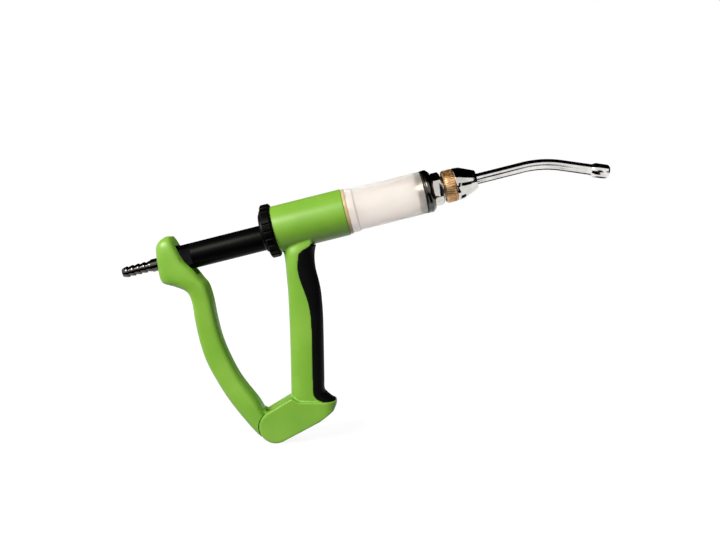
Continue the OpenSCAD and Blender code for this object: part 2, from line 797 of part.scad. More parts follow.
shank_r = trunnion_d / 3;
feed_wall = 1;          // wall left between the feed bore and the shank
shank_depth = coupling_flats / 2 - feed_bore / 2 - feed_wall;
module trunnion_shank(side) {
    inner = coupling_flats / 2 - shank_depth;
    cross_pin(trunnion, shank_r, min(side * inner, side * coupling_flats / 2),
        max(side * inner, side * coupling_flats / 2));
}

module trunnion_pins() {
    color(steel) for (side = [-1, 1]) {
        trunnion_shank(side);
        cross_pin(trunnion, trunnion_d / 2, min(side * coupling_flats / 2, side * trunnion_reach),
            max(side * coupling_flats / 2, side * trunnion_reach));
    }
}

module hose_tail() {
    crest = barb_d / 2;
    root = crest - barb_depth;
    bore = feed_bore / 2;
    collar_r = neck_d / 2;
    root_land = 0.2;
    barb_step = barb_pitch - root_land;
    barbs = [for (i = [0:barb_count - 1])
        let (tip = tail_rear + i * barb_pitch)
        each [[root, tip], [crest, tip + barb_step - barb_land],
            [crest, tip + barb_step], [root, tip + barb_step]]];
    color(dark_nickel) on_plunger() turned(concat([[bore, tail_rear]], barbs, [
        [shank_d / 2, barbs_front], [shank_d / 2, collar_front - collar_thick],
        [collar_r, collar_front - collar_thick], [collar_r, collar_front],
        [tail_thread_r, collar_front], [tail_thread_r, neck_at], [bore, neck_at]]));
}

module hose_tail_washer() {
    color(rubber) on_plunger() ring_at(tail_thread_r, neck_d / 2, collar_front, neck_rear);
}

module rear_lever() {
    rows = smooth(lever_rows, 2);
    color(green) difference() {
        union() {
            difference() {
                loft([for (row = rows) lever_ring(row)]);
                cross_pin(pivot, shoulder_r, -foot_width, foot_width);
            }
            for (side = [-1, 1]) translate([0, side * (lug_inner + lug_outer) / 2, 0]) lever_lug();
        }
        coupling_tunnel();
        for (side = [-1, 1]) trunnion_slot(side);
        cross_pin(pivot, lever_bush_r, -clevis_half, clevis_half);
    }
}

// One lug of the lever's tongue, with the neck that runs up into the arm
module lever_lug() {
    root = lever_rows[2];
    to = pivot + arm * root[0] + lever_depth * [root[1] + root[3], root[2] + root[4]] / 2;
    along = (to - pivot) / norm(to - pivot);
    beside = [-along[1], along[0]];
    foot_half = lug_r * 0.6;
    root_half = 3.5;
    across(lug_thick) polygon([pivot + beside * foot_half, to + beside * root_half,
        to - beside * root_half, pivot - beside * foot_half]);
    cross_pin(pivot, lug_r, -lug_thick / 2, lug_thick / 2);
}

// Way through the head for the coupling, open behind and below so that the tail can swing
module coupling_tunnel() {
    tunnel_lead = 8;
    tunnel_trail = 20;
    mouth_swing = 3;
    neck_swing = 7;
    tail_swing = 9;
    ahead = coupling_front + tunnel_lead;
    behind = coupling_rear + neck_length + tunnel_trail;
    on_plunger(trunnion_at) rotate([90, 0, 0]) linear_extrude(2 * tunnel_half, center = true)
        polygon([[-tunnel_top, ahead], [-tunnel_top, -behind], [tube_r + tail_swing, -behind],
            [tube_r + neck_swing, trunnion_d / 3], [tube_r + mouth_swing, ahead]]);
}

// Blind slot on the inside of the head's cheek, in line with the pivot
module trunnion_slot(side) {
    half = trunnion_d / 2 + slot_room;
    outer = trunnion_reach + side_gap;
    inner = tunnel_half - bite;
    toward = arm / arm_length;
    steps = 12;
    ends = [[arm_length, arm_angle - 90], [arm_length - radial_travel, arm_angle + 90]];
    translate([0, side * (outer + inner) / 2, 0]) across(outer - inner) polygon([
        for (end = ends, k = [0:steps])
            let (turn = end[1] + 180 * k / steps)
            pivot + toward * end[0] + half * [cos(turn), sin(turn)]]);
}

module lever_bushes() {
    color(brass) for (side = [-1, 1]) difference() {
        cross_pin(pivot, lever_bush_r, min(side * lug_inner, side * lug_outer),
            max(side * lug_inner, side * lug_outer));
        cross_pin(pivot, pin_r + running_gap, -foot_width, foot_width);
    }
}

body_frame();
grip_pad();
pivot_pin();
return_spring();
guide_bush();
dose_ring_clip();
barrel();
barrel_gasket();
front_cap();
front_cap_seal();
valve_body();
delivery_seat();
delivery_spring();
lock_ring();
nozzle_nut();
nozzle_seal();
rear_lever();
lever_bushes();
plunger_tube();
piston();
piston_seal();
inlet_retainer();
inlet_spring();
rear_coupling();
trunnion_pins();
hose_tail();
hose_tail_washer();
inlet_valve();
delivery_valve();
dose_ring();
nozzle_tube();
nozzle_tip();
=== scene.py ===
import json
import math
import bmesh
import bpy
from mathutils import Matrix, Vector


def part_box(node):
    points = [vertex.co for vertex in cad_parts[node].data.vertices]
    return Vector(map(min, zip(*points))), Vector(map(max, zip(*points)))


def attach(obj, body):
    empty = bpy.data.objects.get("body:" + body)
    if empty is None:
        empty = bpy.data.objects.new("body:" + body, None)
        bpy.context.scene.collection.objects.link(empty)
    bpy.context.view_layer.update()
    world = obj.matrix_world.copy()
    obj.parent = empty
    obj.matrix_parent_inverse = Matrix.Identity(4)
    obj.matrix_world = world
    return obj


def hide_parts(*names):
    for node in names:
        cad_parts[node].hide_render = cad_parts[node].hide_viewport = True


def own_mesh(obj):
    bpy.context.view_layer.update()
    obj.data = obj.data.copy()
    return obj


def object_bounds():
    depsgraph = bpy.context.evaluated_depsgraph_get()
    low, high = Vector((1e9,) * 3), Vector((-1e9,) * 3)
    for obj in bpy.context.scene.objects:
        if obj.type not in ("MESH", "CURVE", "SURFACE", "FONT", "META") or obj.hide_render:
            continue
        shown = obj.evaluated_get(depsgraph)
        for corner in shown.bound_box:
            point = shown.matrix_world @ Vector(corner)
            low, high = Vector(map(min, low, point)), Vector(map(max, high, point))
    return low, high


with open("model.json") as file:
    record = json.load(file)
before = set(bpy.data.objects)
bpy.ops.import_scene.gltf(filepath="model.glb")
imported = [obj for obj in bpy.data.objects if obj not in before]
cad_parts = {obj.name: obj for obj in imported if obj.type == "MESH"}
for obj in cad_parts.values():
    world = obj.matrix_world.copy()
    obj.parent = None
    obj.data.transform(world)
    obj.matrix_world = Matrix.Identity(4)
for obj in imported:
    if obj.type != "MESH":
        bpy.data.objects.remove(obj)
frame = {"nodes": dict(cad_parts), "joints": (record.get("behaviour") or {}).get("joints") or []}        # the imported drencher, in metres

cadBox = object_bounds()
nodes = frame["nodes"]
joints = {joint["name"]: joint for joint in frame["joints"]}
mm = 0.001

# The barrel's axis leans back, and the plunger's axis lies lower beside it
barrelAxis = Vector(joints["dose_ring_turn"]["axis"]).normalized()
barrelStart = Vector(joints["dose_ring_turn"]["pos_m"])
tubeMiddle = sum(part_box("plunger_tube"), Vector()) / 2
plungerStart = tubeMiddle - barrelAxis * (tubeMiddle - barrelStart).dot(barrelAxis)
leverPivot = Vector(joints["lever_squeeze"]["pos_m"])
axisTurn = math.acos(barrelAxis.z)       # turns an upright piece to lie along the axis


def alongAxis(node):
    # first and last station of a node on the axis, in mm
    stations = [(v.co - barrelStart).dot(barrelAxis) / mm for v in nodes[node].data.vertices]
    return min(stations), max(stations)


def outerRadius(node, start=barrelStart):
    # largest distance of a node from the axis, in mm
    offsets = [(v.co - start).cross(barrelAxis).length / mm for v in nodes[node].data.vertices]
    return max(offsets)


print("frame loaded:", len(nodes), "nodes")


# Camera at the photograph's angle
view = {
    "target": Vector((43.5, 0, 16.5)) * mm,
    "distance": 590 * mm,
    "elevation": math.radians(7),
    "focalPixels": 786.7,
    "framePixels": 720,
    "sensor": 36,
    "shift": (-0.0069, 0.0458),
}


def addCamera():
    lens = view["focalPixels"] / view["framePixels"] * view["sensor"]
    back = Vector((0, -math.cos(view["elevation"]), math.sin(view["elevation"])))
    place = view["target"] + back * view["distance"]
    bpy.ops.object.camera_add(location=place, rotation=(math.pi / 2 - view["elevation"], 0, 0))
    camera = bpy.context.object
    camera.data.sensor_width = view["sensor"]
    camera.data.lens = lens
    camera.data.shift_x, camera.data.shift_y = view["shift"]
    bpy.context.scene.camera = camera


addCamera()
bpy.context.scene.view_settings.view_transform = "Standard"


# Colours and material helpers
def linear(hexColour):
    parts = [int(hexColour[i:i + 2], 16) / 255 for i in (1, 3, 5)]
    return tuple(c / 12.92 if c <= 0.04045 else ((c + 0.055) / 1.055) ** 2.4 for c in parts) + (1,)


def addNode(tree, kind, settings={}, links={}):
    node = tree.nodes.new(kind)
    for name, value in settings.items():
        if isinstance(name, int) or name in node.inputs:
            node.inputs[name].default_value = value
        else:
            setattr(node, name, value)
    for name, source in links.items():
        tree.links.new(source, node.inputs[name])
    return node


def startMaterial(name, settings):
    material = bpy.data.materials.new(name)
    material.use_nodes = True
    shader = material.node_tree.nodes["Principled BSDF"]
    for socket, value in settings.items():
        shader.inputs[socket].default_value = value
    return material, material.node_tree, shader


def perMetre(sizeMm):
    return 1 / (sizeMm * mm)     # pattern scale that gives features of this size


def setRamp(ramp, stops):
    while len(ramp.color_ramp.elements) < len(stops):
        ramp.color_ramp.elements.new(0.5)
    for element, (place, colour) in zip(ramp.color_ramp.elements, stops):
        element.position = place
        element.color = colour


# Studio: pale floor, white surround, soft lamps, and black cards that only reflections show
studio = {
    "surround": 0.2,
    "surroundTint": (0.84, 0.96, 1.0, 1),
    "floorColour": "#6A6A6A",
    "floorGlow": (0.9, 1.0),
    "floorFade": (0.25, 1.2),
    "floorSize": 8,
    "lamps": {
        "keyLamp": {"place": (-0.6, -0.8, 0.66), "size": 0.5, "watts": 17, "colour": (1, 0.95, 0.82)},
        "backLamp": {"place": (0.2, 0.9, 0.7), "size": 0.8, "watts": 8, "colour": (1, 1, 1)},
    },
    "cards": {
        "topCard": {"place": (0.05, 0.35, 0.95), "size": (2.6, 2.3), "turn": (0, 0, 0)},
        "backCard": {"place": (0.05, 1.5, 0.45), "size": (2.6, 1.1), "turn": (math.pi / 2, 0, 0)},
        "sideCard": {"place": (1.3, 0.4, 0.45), "size": (1.1, 2.2), "turn": (0, math.pi / 2, 0)},
        "lowCard": {"place": (-0.3175, -0.6, cadBox[0].z + 0.004), "size": (1.065, 1.04), "turn": (0, 0, 0)},
        "noseCard": {"place": (0.235, 0.14, cadBox[0].z + 0.004), "size": (0.07, 0.22), "turn": (0, 0, 0)},
        "tubeCard": {"place": (0.235, -0.45, 0.0375), "size": (0.11, 0.245), "turn": (math.pi / 2, 0, 0)},
        "coneCard": {"place": (0.67, -0.576, 0.0575), "size": (0.5, 0.285),
                     "turn": (math.pi / 2, 0, math.radians(44))},
    },
}


def seenDirectly(tree):
    # 1 for rays from the camera, from polished metal and through clear plastic
    path = addNode(tree, "ShaderNodeLightPath")
    pair = addNode(tree, "ShaderNodeMath", {"operation": "MAXIMUM"},
                   {0: path.outputs["Is Camera Ray"], 1: path.outputs["Is Glossy Ray"]})
    return addNode(tree, "ShaderNodeMath", {"operation": "MAXIMUM"},
                   {0: pair.outputs[0], 1: path.outputs["Is Transmission Ray"]}).outputs[0]


def addStudio():
    world = bpy.data.worlds.new("whiteSurround")
    bpy.context.scene.world = world
    world.use_nodes = True
    tree = world.node_tree
    seen = seenDirectly(tree)
    strength = addNode(tree, "ShaderNodeMapRange", {"To Min": studio["surround"], "To Max": 1},
                       {"Value": seen})
    tint = addNode(tree, "ShaderNodeMixRGB", {"Color1": studio["surroundTint"], "Color2": (1, 1, 1, 1)},
                   {"Fac": seen})
    tree.links.new(strength.outputs["Result"], tree.nodes["Background"].inputs["Strength"])
    tree.links.new(tint.outputs["Color"], tree.nodes["Background"].inputs["Color"])

    bpy.ops.mesh.primitive_plane_add(size=studio["floorSize"], location=(0, 0, cadBox[0].z))
    floor = bpy.context.object
    floor.name = "floor"
    material, tree, shader = startMaterial("paleFloor", {"Roughness": 0.9, "Specular IOR Level": 0})
    shader.inputs["Base Color"].default_value = linear(studio["floorColour"])
    place = addNode(tree, "ShaderNodeTexCoord").outputs["Object"]
    away = addNode(tree, "ShaderNodeVectorMath", {"operation": "LENGTH"}, {0: place})
    fade = addNode(tree, "ShaderNodeMapRange", {
        "From Min": studio["floorFade"][0], "From Max": studio["floorFade"][1],
        "To Min": studio["floorGlow"][0], "To Max": studio["floorGlow"][1]}, {"Value": away.outputs["Value"]})
    glow = addNode(tree, "ShaderNodeMath", {"operation": "MULTIPLY"},
                   {0: fade.outputs["Result"], 1: seenDirectly(tree)})
    shader.inputs["Emission Color"].default_value = (1, 1, 1, 1)
    tree.links.new(glow.outputs[0], shader.inputs["Emission Strength"])
    floor.data.materials.append(material)

    for name, lamp in studio["lamps"].items():
        place = Vector(lamp["place"])
        aim = (view["target"] - place).to_track_quat("-Z", "Y").to_euler()
        bpy.ops.object.light_add(type="AREA", location=place, rotation=aim)
        light = bpy.context.object
        light.name = name
        light.data.size = lamp["size"]
        light.data.energy = lamp["watts"]
        light.data.color = lamp["colour"]
        light.visible_glossy = name == "keyLamp"

    material, tree, shader = startMaterial("blackCloth", {"Roughness": 1, "Specular IOR Level": 0})
    shader.inputs["Base Color"].default_value = linear("#060606")
    for name, card in studio["cards"].items():
        bpy.ops.mesh.primitive_plane_add(size=1, location=card["place"], rotation=card["turn"])
        cloth = bpy.context.object
        cloth.name = name
        cloth.scale = card["size"] + (1,)
        cloth.visible_camera = False
        cloth.visible_diffuse = False
        cloth.visible_transmission = False
        cloth.visible_shadow = False
        cloth.data.materials.append(material)


addStudio()
print("camera and studio ready")


# Moulded plastics and rubbers: a faint colour drift, a fine mould grain and a painted highlight on sharp
# edges
def mouldedSkin(name, look):
    material, tree, shader = startMaterial(name, look["sockets"])
    place = addNode(tree, "ShaderNodeTexCoord").outputs["Object"]
    drift = addNode(tree, "ShaderNodeTexNoise", {"Scale": perMetre(look["driftMm"]), "Detail": 3},
                    {"Vector": place})
    tint = addNode(tree, "ShaderNodeValToRGB", {}, {"Fac": drift.outputs["Fac"]})
    setRamp(tint, [(0.3, linear(look["deep"])), (0.5, linear(look["base"])), (0.7, linear(look["pale"]))])
    # painted highlight: sharp outer edges are pushed towards a paler colour
    paintedEdgeMask = addNode(tree, "ShaderNodeMapRange", {"From Min": 0.53, "From Max": 0.62, "To Max": look["paintedEdgeHighlightShare"]},
                   {"Value": addNode(tree, "ShaderNodeNewGeometry").outputs["Pointiness"]})
    paintedEdgeColour = addNode(tree, "ShaderNodeMixRGB", {"Color2": linear(look["paintedEdgeHighlight"])},
                      {"Fac": paintedEdgeMask.outputs["Result"], "Color1": tint.outputs["Color"]})
    tree.links.new(paintedEdgeColour.outputs["Color"], shader.inputs["Base Color"])
    grain = addNode(tree, "ShaderNodeTexNoise", {"Scale": perMetre(look["grainMm"]), "Detail": 2},
                    {"Vector": place})
    gloss = addNode(tree, "ShaderNodeMapRange", {"To Min": look["rough"][0], "To Max": look["rough"][1]},
                    {"Value": grain.outputs["Fac"]})
    tree.links.new(gloss.outputs["Result"], shader.inputs["Roughness"])
    bump = addNode(tree, "ShaderNodeBump", {"Strength": 1, "Distance": look["grainDepthMm"] * mm},
                   {"Height": grain.outputs["Fac"]})
    tree.links.new(bump.outputs["Normal"], shader.inputs["Normal"])
    return material


# Turned and polished metals: fine tool lines round the barrel's axis, and faint smears
def turnedMetal(name, look):
    material, tree, shader = startMaterial(name, {"Metallic": 1})
    place = addNode(tree, "ShaderNodeTexCoord").outputs["Object"]
    upright = addNode(tree, "ShaderNodeMapping", {"Rotation": (0, -axisTurn, 0)}, {"Vector": place})
    lines = addNode(tree, "ShaderNodeTexWave",
                    {"bands_direction": "Z", "Scale": perMetre(look["lineMm"]) / 20, "Distortion": 1.5,
                     "Detail": 2, "Detail Scale": 2}, {"Vector": upright.outputs["Vector"]})
    smear = addNode(tree, "ShaderNodeTexNoise", {"Scale": perMetre(look["smearMm"]), "Detail": 4},
                    {"Vector": place})
    tint = addNode(tree, "ShaderNodeValToRGB", {}, {"Fac": smear.outputs["Fac"]})
    setRamp(tint, [(0.35, linear(look["deep"])), (0.6, linear(look["base"]))])
    tree.links.new(tint.outputs["Color"], shader.inputs["Base Color"])
    gloss = addNode(tree, "ShaderNodeMapRange", {"To Min": look["rough"][0], "To Max": look["rough"][1]},
                    {"Value": smear.outputs["Fac"]})
    tree.links.new(gloss.outputs["Result"], shader.inputs["Roughness"])
    bump = addNode(tree, "ShaderNodeBump", {"Strength": 1, "Distance": look["lineDepthMm"] * mm},
                   {"Height": lines.outputs["Fac"]})
    tree.links.new(bump.outputs["Normal"], shader.inputs["Normal"])
    return material


# Green frame and lever: glass-filled nylon, moulded, with a satin skin.
# Mould grain is finer than a pixel, so it is drawn coarser
# In each moulded look, the paler edge colour and its share paint a highlight on sharp edges
greenNylon = mouldedSkin("mouldedGreenNylon", {
    "base": "#80B73C", "deep": "#79B138", "pale": "#88BD44", "paintedEdgeHighlight": "#AAD36A", "paintedEdgeHighlightShare": 0.35,
    "driftMm": 30, "grainMm": 1.6, "grainDepthMm": 0.015, "rough": (0.32, 0.42),
    "sockets": {"IOR": 1.5, "Specular IOR Level": 0.5},
})

# Hand pad: soft moulded rubber, matt black with a stippled skin
gripRubber = mouldedSkin("mouldedGripRubber", {
    "base": "#070709", "deep": "#050507", "pale": "#0A0A0D", "paintedEdgeHighlight": "#1C1C20", "paintedEdgeHighlightShare": 0.3,
    "driftMm": 18, "grainMm": 1.1, "grainDepthMm": 0.05, "rough": (0.5, 0.66),
    "sockets": {"IOR": 1.5, "Specular IOR Level": 0.06},
})

# Plunger, dose ring and guide bush: black nylon, turned from moulded bar, satin
blackNylon = mouldedSkin("satinBlackNylon", {
    "base": "#040405", "deep": "#020203", "pale": "#060608", "paintedEdgeHighlight": "#1A1A1E", "paintedEdgeHighlightShare": 0.4,
    "driftMm": 25, "grainMm": 1.3, "grainDepthMm": 0.012, "rough": (0.3, 0.42),
    "sockets": {"IOR": 1.53, "Specular IOR Level": 0.04},
})

# Barrel gasket: amber silicone, a little clear, with a soft shine
amberSilicone = mouldedSkin("amberSilicone", {
    "base": "#DDC49C", "deep": "#CFB084", "pale": "#E6D2AE", "paintedEdgeHighlight": "#F0E0BC", "paintedEdgeHighlightShare": 0.3,
    "driftMm": 6, "grainMm": 0.9, "grainDepthMm": 0.01, "rough": (0.22, 0.34),
    "sockets": {"IOR": 1.43, "Subsurface Weight": 0.3, "Subsurface Radius": (0.004, 0.002, 0.001),
                "Subsurface Scale": 1},
})

# Seals and the inlet valve: black nitrile rubber
nitrileRubber = mouldedSkin("nitrileRubber", {
    "base": "#16161A", "deep": "#101014", "pale": "#1C1C21", "paintedEdgeHighlight": "#303036", "paintedEdgeHighlightShare": 0.2,
    "driftMm": 8, "grainMm": 0.8, "grainDepthMm": 0.01, "rough": (0.45, 0.6),
    "sockets": {"IOR": 1.5, "Specular IOR Level": 0.35},
})

# Piston and valve discs: white acetal, moulded, waxy
whiteAcetal = mouldedSkin("whiteAcetal", {
    "base": "#E6E4DC", "deep": "#DAD7CD", "pale": "#EEECE6", "paintedEdgeHighlight": "#F4F3EE", "paintedEdgeHighlightShare": 0.2,
    "driftMm": 15, "grainMm": 1.2, "grainDepthMm": 0.01, "rough": (0.3, 0.4),
    "sockets": {"IOR": 1.48},
})

# Hex union and cone nut: bright chrome plate on brass
chromePlate = turnedMetal("brightChromePlate", {
    "base": "#DCDAD5", "deep": "#C8C5BF", "smearMm": 9, "lineMm": 1.2, "lineDepthMm": 0.0005,
    "rough": (0.05, 0.11),
})

# Front cap and hose tail: dark nickel plate on brass, bright but nearly black
darkNickel = turnedMetal("darkNickelPlate", {
    "base": "#5C5B58", "deep": "#4C4B49", "smearMm": 9, "lineMm": 1.2, "lineDepthMm": 0.0006,
    "rough": (0.1, 0.18),
})

# Nozzle and its tip: stainless tube, mirror polished
polishedStainless = turnedMetal("polishedStainless", {
    "base": "#E9E7E5", "deep": "#D4D2D0", "smearMm": 7, "lineMm": 1.5, "lineDepthMm": 0.0002,
    "rough": (0.08, 0.16),
})

# Pin, trunnions and springs: machined steel with tool marks
machinedSteel = turnedMetal("machinedSteel", {
    "base": "#A9AAAD", "deep": "#8E8F94", "smearMm": 6, "lineMm": 0.9, "lineDepthMm": 0.003,
    "rough": (0.22, 0.36),
})

# Rear coupling and the ring's clip: steel with a black oxide finish
blackenedSteel = turnedMetal("blackOxideSteel", {
    "base": "#1E1E21", "deep": "#151517", "smearMm": 6, "lineMm": 0.9, "lineDepthMm": 0.003,
    "rough": (0.3, 0.42),
})

# Lock ring and bushes: turned brass, slightly dull
turnedBrass = turnedMetal("turnedBrass", {
    "base": "#E4BC8C", "deep": "#C2986A", "smearMm": 5, "lineMm": 1, "lineDepthMm": 0.002,
    "rough": (0.3, 0.42),
})


# Barrel: milky polypropylene, moulded, lets light through but hardly any shape
def milkyPlastic(name, look):
    material, tree, shader = startMaterial(name, look["sockets"])
    place = addNode(tree, "ShaderNodeTexCoord").outputs["Object"]
    cloud = addNode(tree, "ShaderNodeTexNoise", {"Scale": perMetre(look["cloudMm"]), "Detail": 3},
                    {"Vector": place})
    tint = addNode(tree, "ShaderNodeValToRGB", {}, {"Fac": cloud.outputs["Fac"]})
    setRamp(tint, [(0.35, linear(look["warm"])), (0.65, linear(look["pale"]))])
    tree.links.new(tint.outputs["Color"], shader.inputs["Base Color"])
    gloss = addNode(tree, "ShaderNodeMapRange", {"To Min": look["rough"][0], "To Max": look["rough"][1]},
                    {"Value": cloud.outputs["Fac"]})
    tree.links.new(gloss.outputs["Result"], shader.inputs["Roughness"])
    flow = addNode(tree, "ShaderNodeTexNoise", {"Scale": perMetre(look["flowMm"]), "Detail": 1},
                   {"Vector": place})
    bump = addNode(tree, "ShaderNodeBump", {"Strength": 1, "Distance": look["flowDepthMm"] * mm},
                   {"Height": flow.outputs["Fac"]})
    tree.links.new(bump.outputs["Normal"], shader.inputs["Normal"])
    return material


milkyPolypropylene = milkyPlastic("milkyPolypropylene", {
    "pale": "#FCF9F6", "warm": "#F8F1ED", "cloudMm": 16, "flowMm": 7, "flowDepthMm": 0.03,
    "rough": (0.36, 0.46),
    "sockets": {"IOR": 1.49, "Transmission Weight": 0.88, "Subsurface Weight": 0.1,
                "Subsurface Radius": (0.006, 0.0055, 0.005), "Subsurface Scale": 1},
})

print("materials ready")


# Modelling helpers
def startEdit(piece, name):
    piece.name = name
    piece.data.name = name
    bpy.ops.object.mode_set(mode="EDIT")
    bpy.ops.mesh.select_all(action="SELECT")


def endEdit():
    bpy.ops.mesh.select_all(action="SELECT")
    bpy.ops.mesh.remove_doubles(threshold=0.002 * mm)
    bpy.ops.mesh.delete_loose()
    bpy.ops.mesh.select_all(action="SELECT")
    bpy.ops.mesh.normals_make_consistent(inside=False)
    bpy.ops.object.mode_set(mode="OBJECT")


def pickOnly(piece):
    bpy.ops.object.select_all(action="DESELECT")
    piece.select_set(True)
    bpy.context.view_layer.objects.active = piece


def applyModifier(piece, kind, settings):
    pickOnly(piece)
    modifier = piece.modifiers.new(kind.title(), kind)
    for name, value in settings.items():
        setattr(modifier, name, value)
    bpy.ops.object.modifier_apply(modifier=modifier.name)


def roundEdges(piece, widthMm, segments=3, angle=30):
    applyModifier(piece, "BEVEL", {"width": widthMm * mm, "segments": segments, "limit_method": "ANGLE",
                                   "angle_limit": math.radians(angle), "harden_normals": False})


def carve(piece, tool, operation="DIFFERENCE"):
    # cuts the tool out of the piece, or joins it on, then cleans the seam and throws the tool away
    applyModifier(piece, "BOOLEAN", {"operation": operation, "object": tool, "solver": "EXACT"})
    bpy.data.objects.remove(tool)
    bpy.ops.object.mode_set(mode="EDIT")
    bpy.ops.mesh.select_all(action="SELECT")
    bpy.ops.mesh.remove_doubles(threshold=0.004 * mm)
    bpy.ops.mesh.dissolve_degenerate(threshold=0.002 * mm)
    bpy.ops.mesh.delete_loose()
    bpy.ops.object.mode_set(mode="OBJECT")


def layAlong(start):
    # where an upright piece goes to lie along the barrel's or the plunger's axis
    return Matrix.Translation(start) @ Matrix.Rotation(axisTurn, 4, "Y")


def settle(piece, place):
    # puts a piece's place and turn into its mesh
    pickOnly(piece)
    piece.matrix_world = place
    bpy.ops.object.transform_apply(location=True, rotation=True, scale=True)


def smoothFaces(piece, angle=32):
    pickOnly(piece)
    bpy.ops.object.shade_smooth_by_angle(angle=math.radians(angle))


def dress(piece, material, body, slot, *replaced):
    piece.data.materials.clear()
    piece.data.materials.append(material)
    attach(piece, body)
    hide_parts(*replaced)


def startOutline(name, outline):
    # draws a closed outline of (radius, station) points in mm, vertex by vertex
    bpy.ops.object.select_all(action="DESELECT")
    bpy.ops.mesh.primitive_plane_add(size=mm)
    startEdit(bpy.context.object, name)
    bpy.ops.mesh.merge(type="CENTER")
    points = [Vector((radius, 0, station)) * mm for radius, station in outline]
    bpy.ops.transform.translate(value=points[0])
    for here, there in zip(points, points[1:] + points[:1]):
        bpy.ops.mesh.extrude_region_move(TRANSFORM_OT_translate={"value": there - here})
    bpy.ops.mesh.select_all(action="SELECT")
    bpy.ops.mesh.remove_doubles(threshold=0.002 * mm)
    return bpy.context.object


def turnPiece(name, outline, rounding=0.0, steps=128, place=None, segments=3):
    # spins an outline round the axis, rounds its corners and lays it in place
    piece = startOutline(name, outline)
    bpy.ops.mesh.select_all(action="SELECT")
    bpy.ops.mesh.spin(steps=steps, angle=2 * math.pi, center=(0, 0, 0), axis=(0, 0, 1))
    endEdit()
    if rounding:
        roundEdges(piece, rounding, segments)
    settle(piece, place or layAlong(barrelStart))
    smoothFaces(piece)
    return piece


# Clear barrel, with the lip at its rear and a softened front edge
barrelShape = {"lipRise": 0.75, "lipLength": 5, "wall": 2, "rounding": 0.35}


def addBarrel():
    rear, front = alongAxis("barrel")
    lipAt = alongAxis("barrel_gasket")[1]
    outer = outerRadius("barrel") - barrelShape["lipRise"]
    inner = outer - barrelShape["wall"]
    lip = outer + barrelShape["lipRise"]
    lipEnd = lipAt + barrelShape["lipLength"]
    barrel = turnPiece("clearBarrel", [
        (inner, rear), (outer, rear), (outer, lipAt), (lip, lipAt), (lip, lipEnd),
        (outer, lipEnd + barrelShape["lipRise"]), (outer, front), (inner, front)], barrelShape["rounding"])
    dress(barrel, milkyPolypropylene, "body", "milky_barrel", "barrel")


# Gasket that bulges out between the housing and the barrel's lip
gasketShape = {"bulge": 0.8}


def addGasket():
    rear, front = alongAxis("barrel_gasket")
    outer = outerRadius("barrel_gasket")
    inner = outerRadius("barrel") - barrelShape["lipRise"]
    gasket = turnPiece("amberGasket", [(inner, rear), (outer, rear), (outer, front), (inner, front)],
                       gasketShape["bulge"], segments=5)
    dress(gasket, amberSilicone, "body", "amber_gasket", "barrel_gasket")


# Front cap: a rim with a deep chamfer and a fine groove, and a spigot inside the barrel
capShape = {"chamfer": 2.5, "rimGroove": 0.35, "rimGrooveAt": 0.9, "rounding": 0.25}


def addFrontCap():
    rear, front = alongAxis("front_cap")
    rimRear = alongAxis("front_cap_seal")[1]
    outer = outerRadius("front_cap")
    bore = outerRadius("barrel") - barrelShape["lipRise"] - barrelShape["wall"]
    thread = threadRadius()
    groove = capShape["rimGroove"]
    grooveAt = rimRear + capShape["rimGrooveAt"]
    cap = turnPiece("frontCap", [
        (thread, rear), (bore, rear), (bore, rimRear), (outer, rimRear), (outer, grooveAt),
        (outer - groove, grooveAt + groove), (outer, grooveAt + 2 * groove),
        (outer, front - capShape["chamfer"]), (outer - capShape["chamfer"], front), (thread, front)],
        capShape["rounding"])
    dress(cap, darkNickel, "body", "dark_nickel", "front_cap")
    cap.data.materials.append(chromePlate)
    for face in cap.data.polygons:
        # the spigot inside the barrel is bright
        station = (face.center - barrelStart).dot(barrelAxis) / mm
        face.material_index = int(station < rimRear - capShape["rounding"])


def threadRadius():
    # the lock ring's bore, which is also the union's thread
    spots = [(v.co - barrelStart).cross(barrelAxis).length / mm for v in nodes["lock_ring"].data.vertices]
    return min(spots)


# Hex union: flats with chamfered corners, on a threaded stem
unionShape = {"cornerChamfer": 1.1, "threadPitch": 1.0, "threadDepth": 0.45, "rounding": 0.2, "flats": 21,
              "port": 3.5, "chamber": 6, "ringGap": 1.5, "spare": 2}


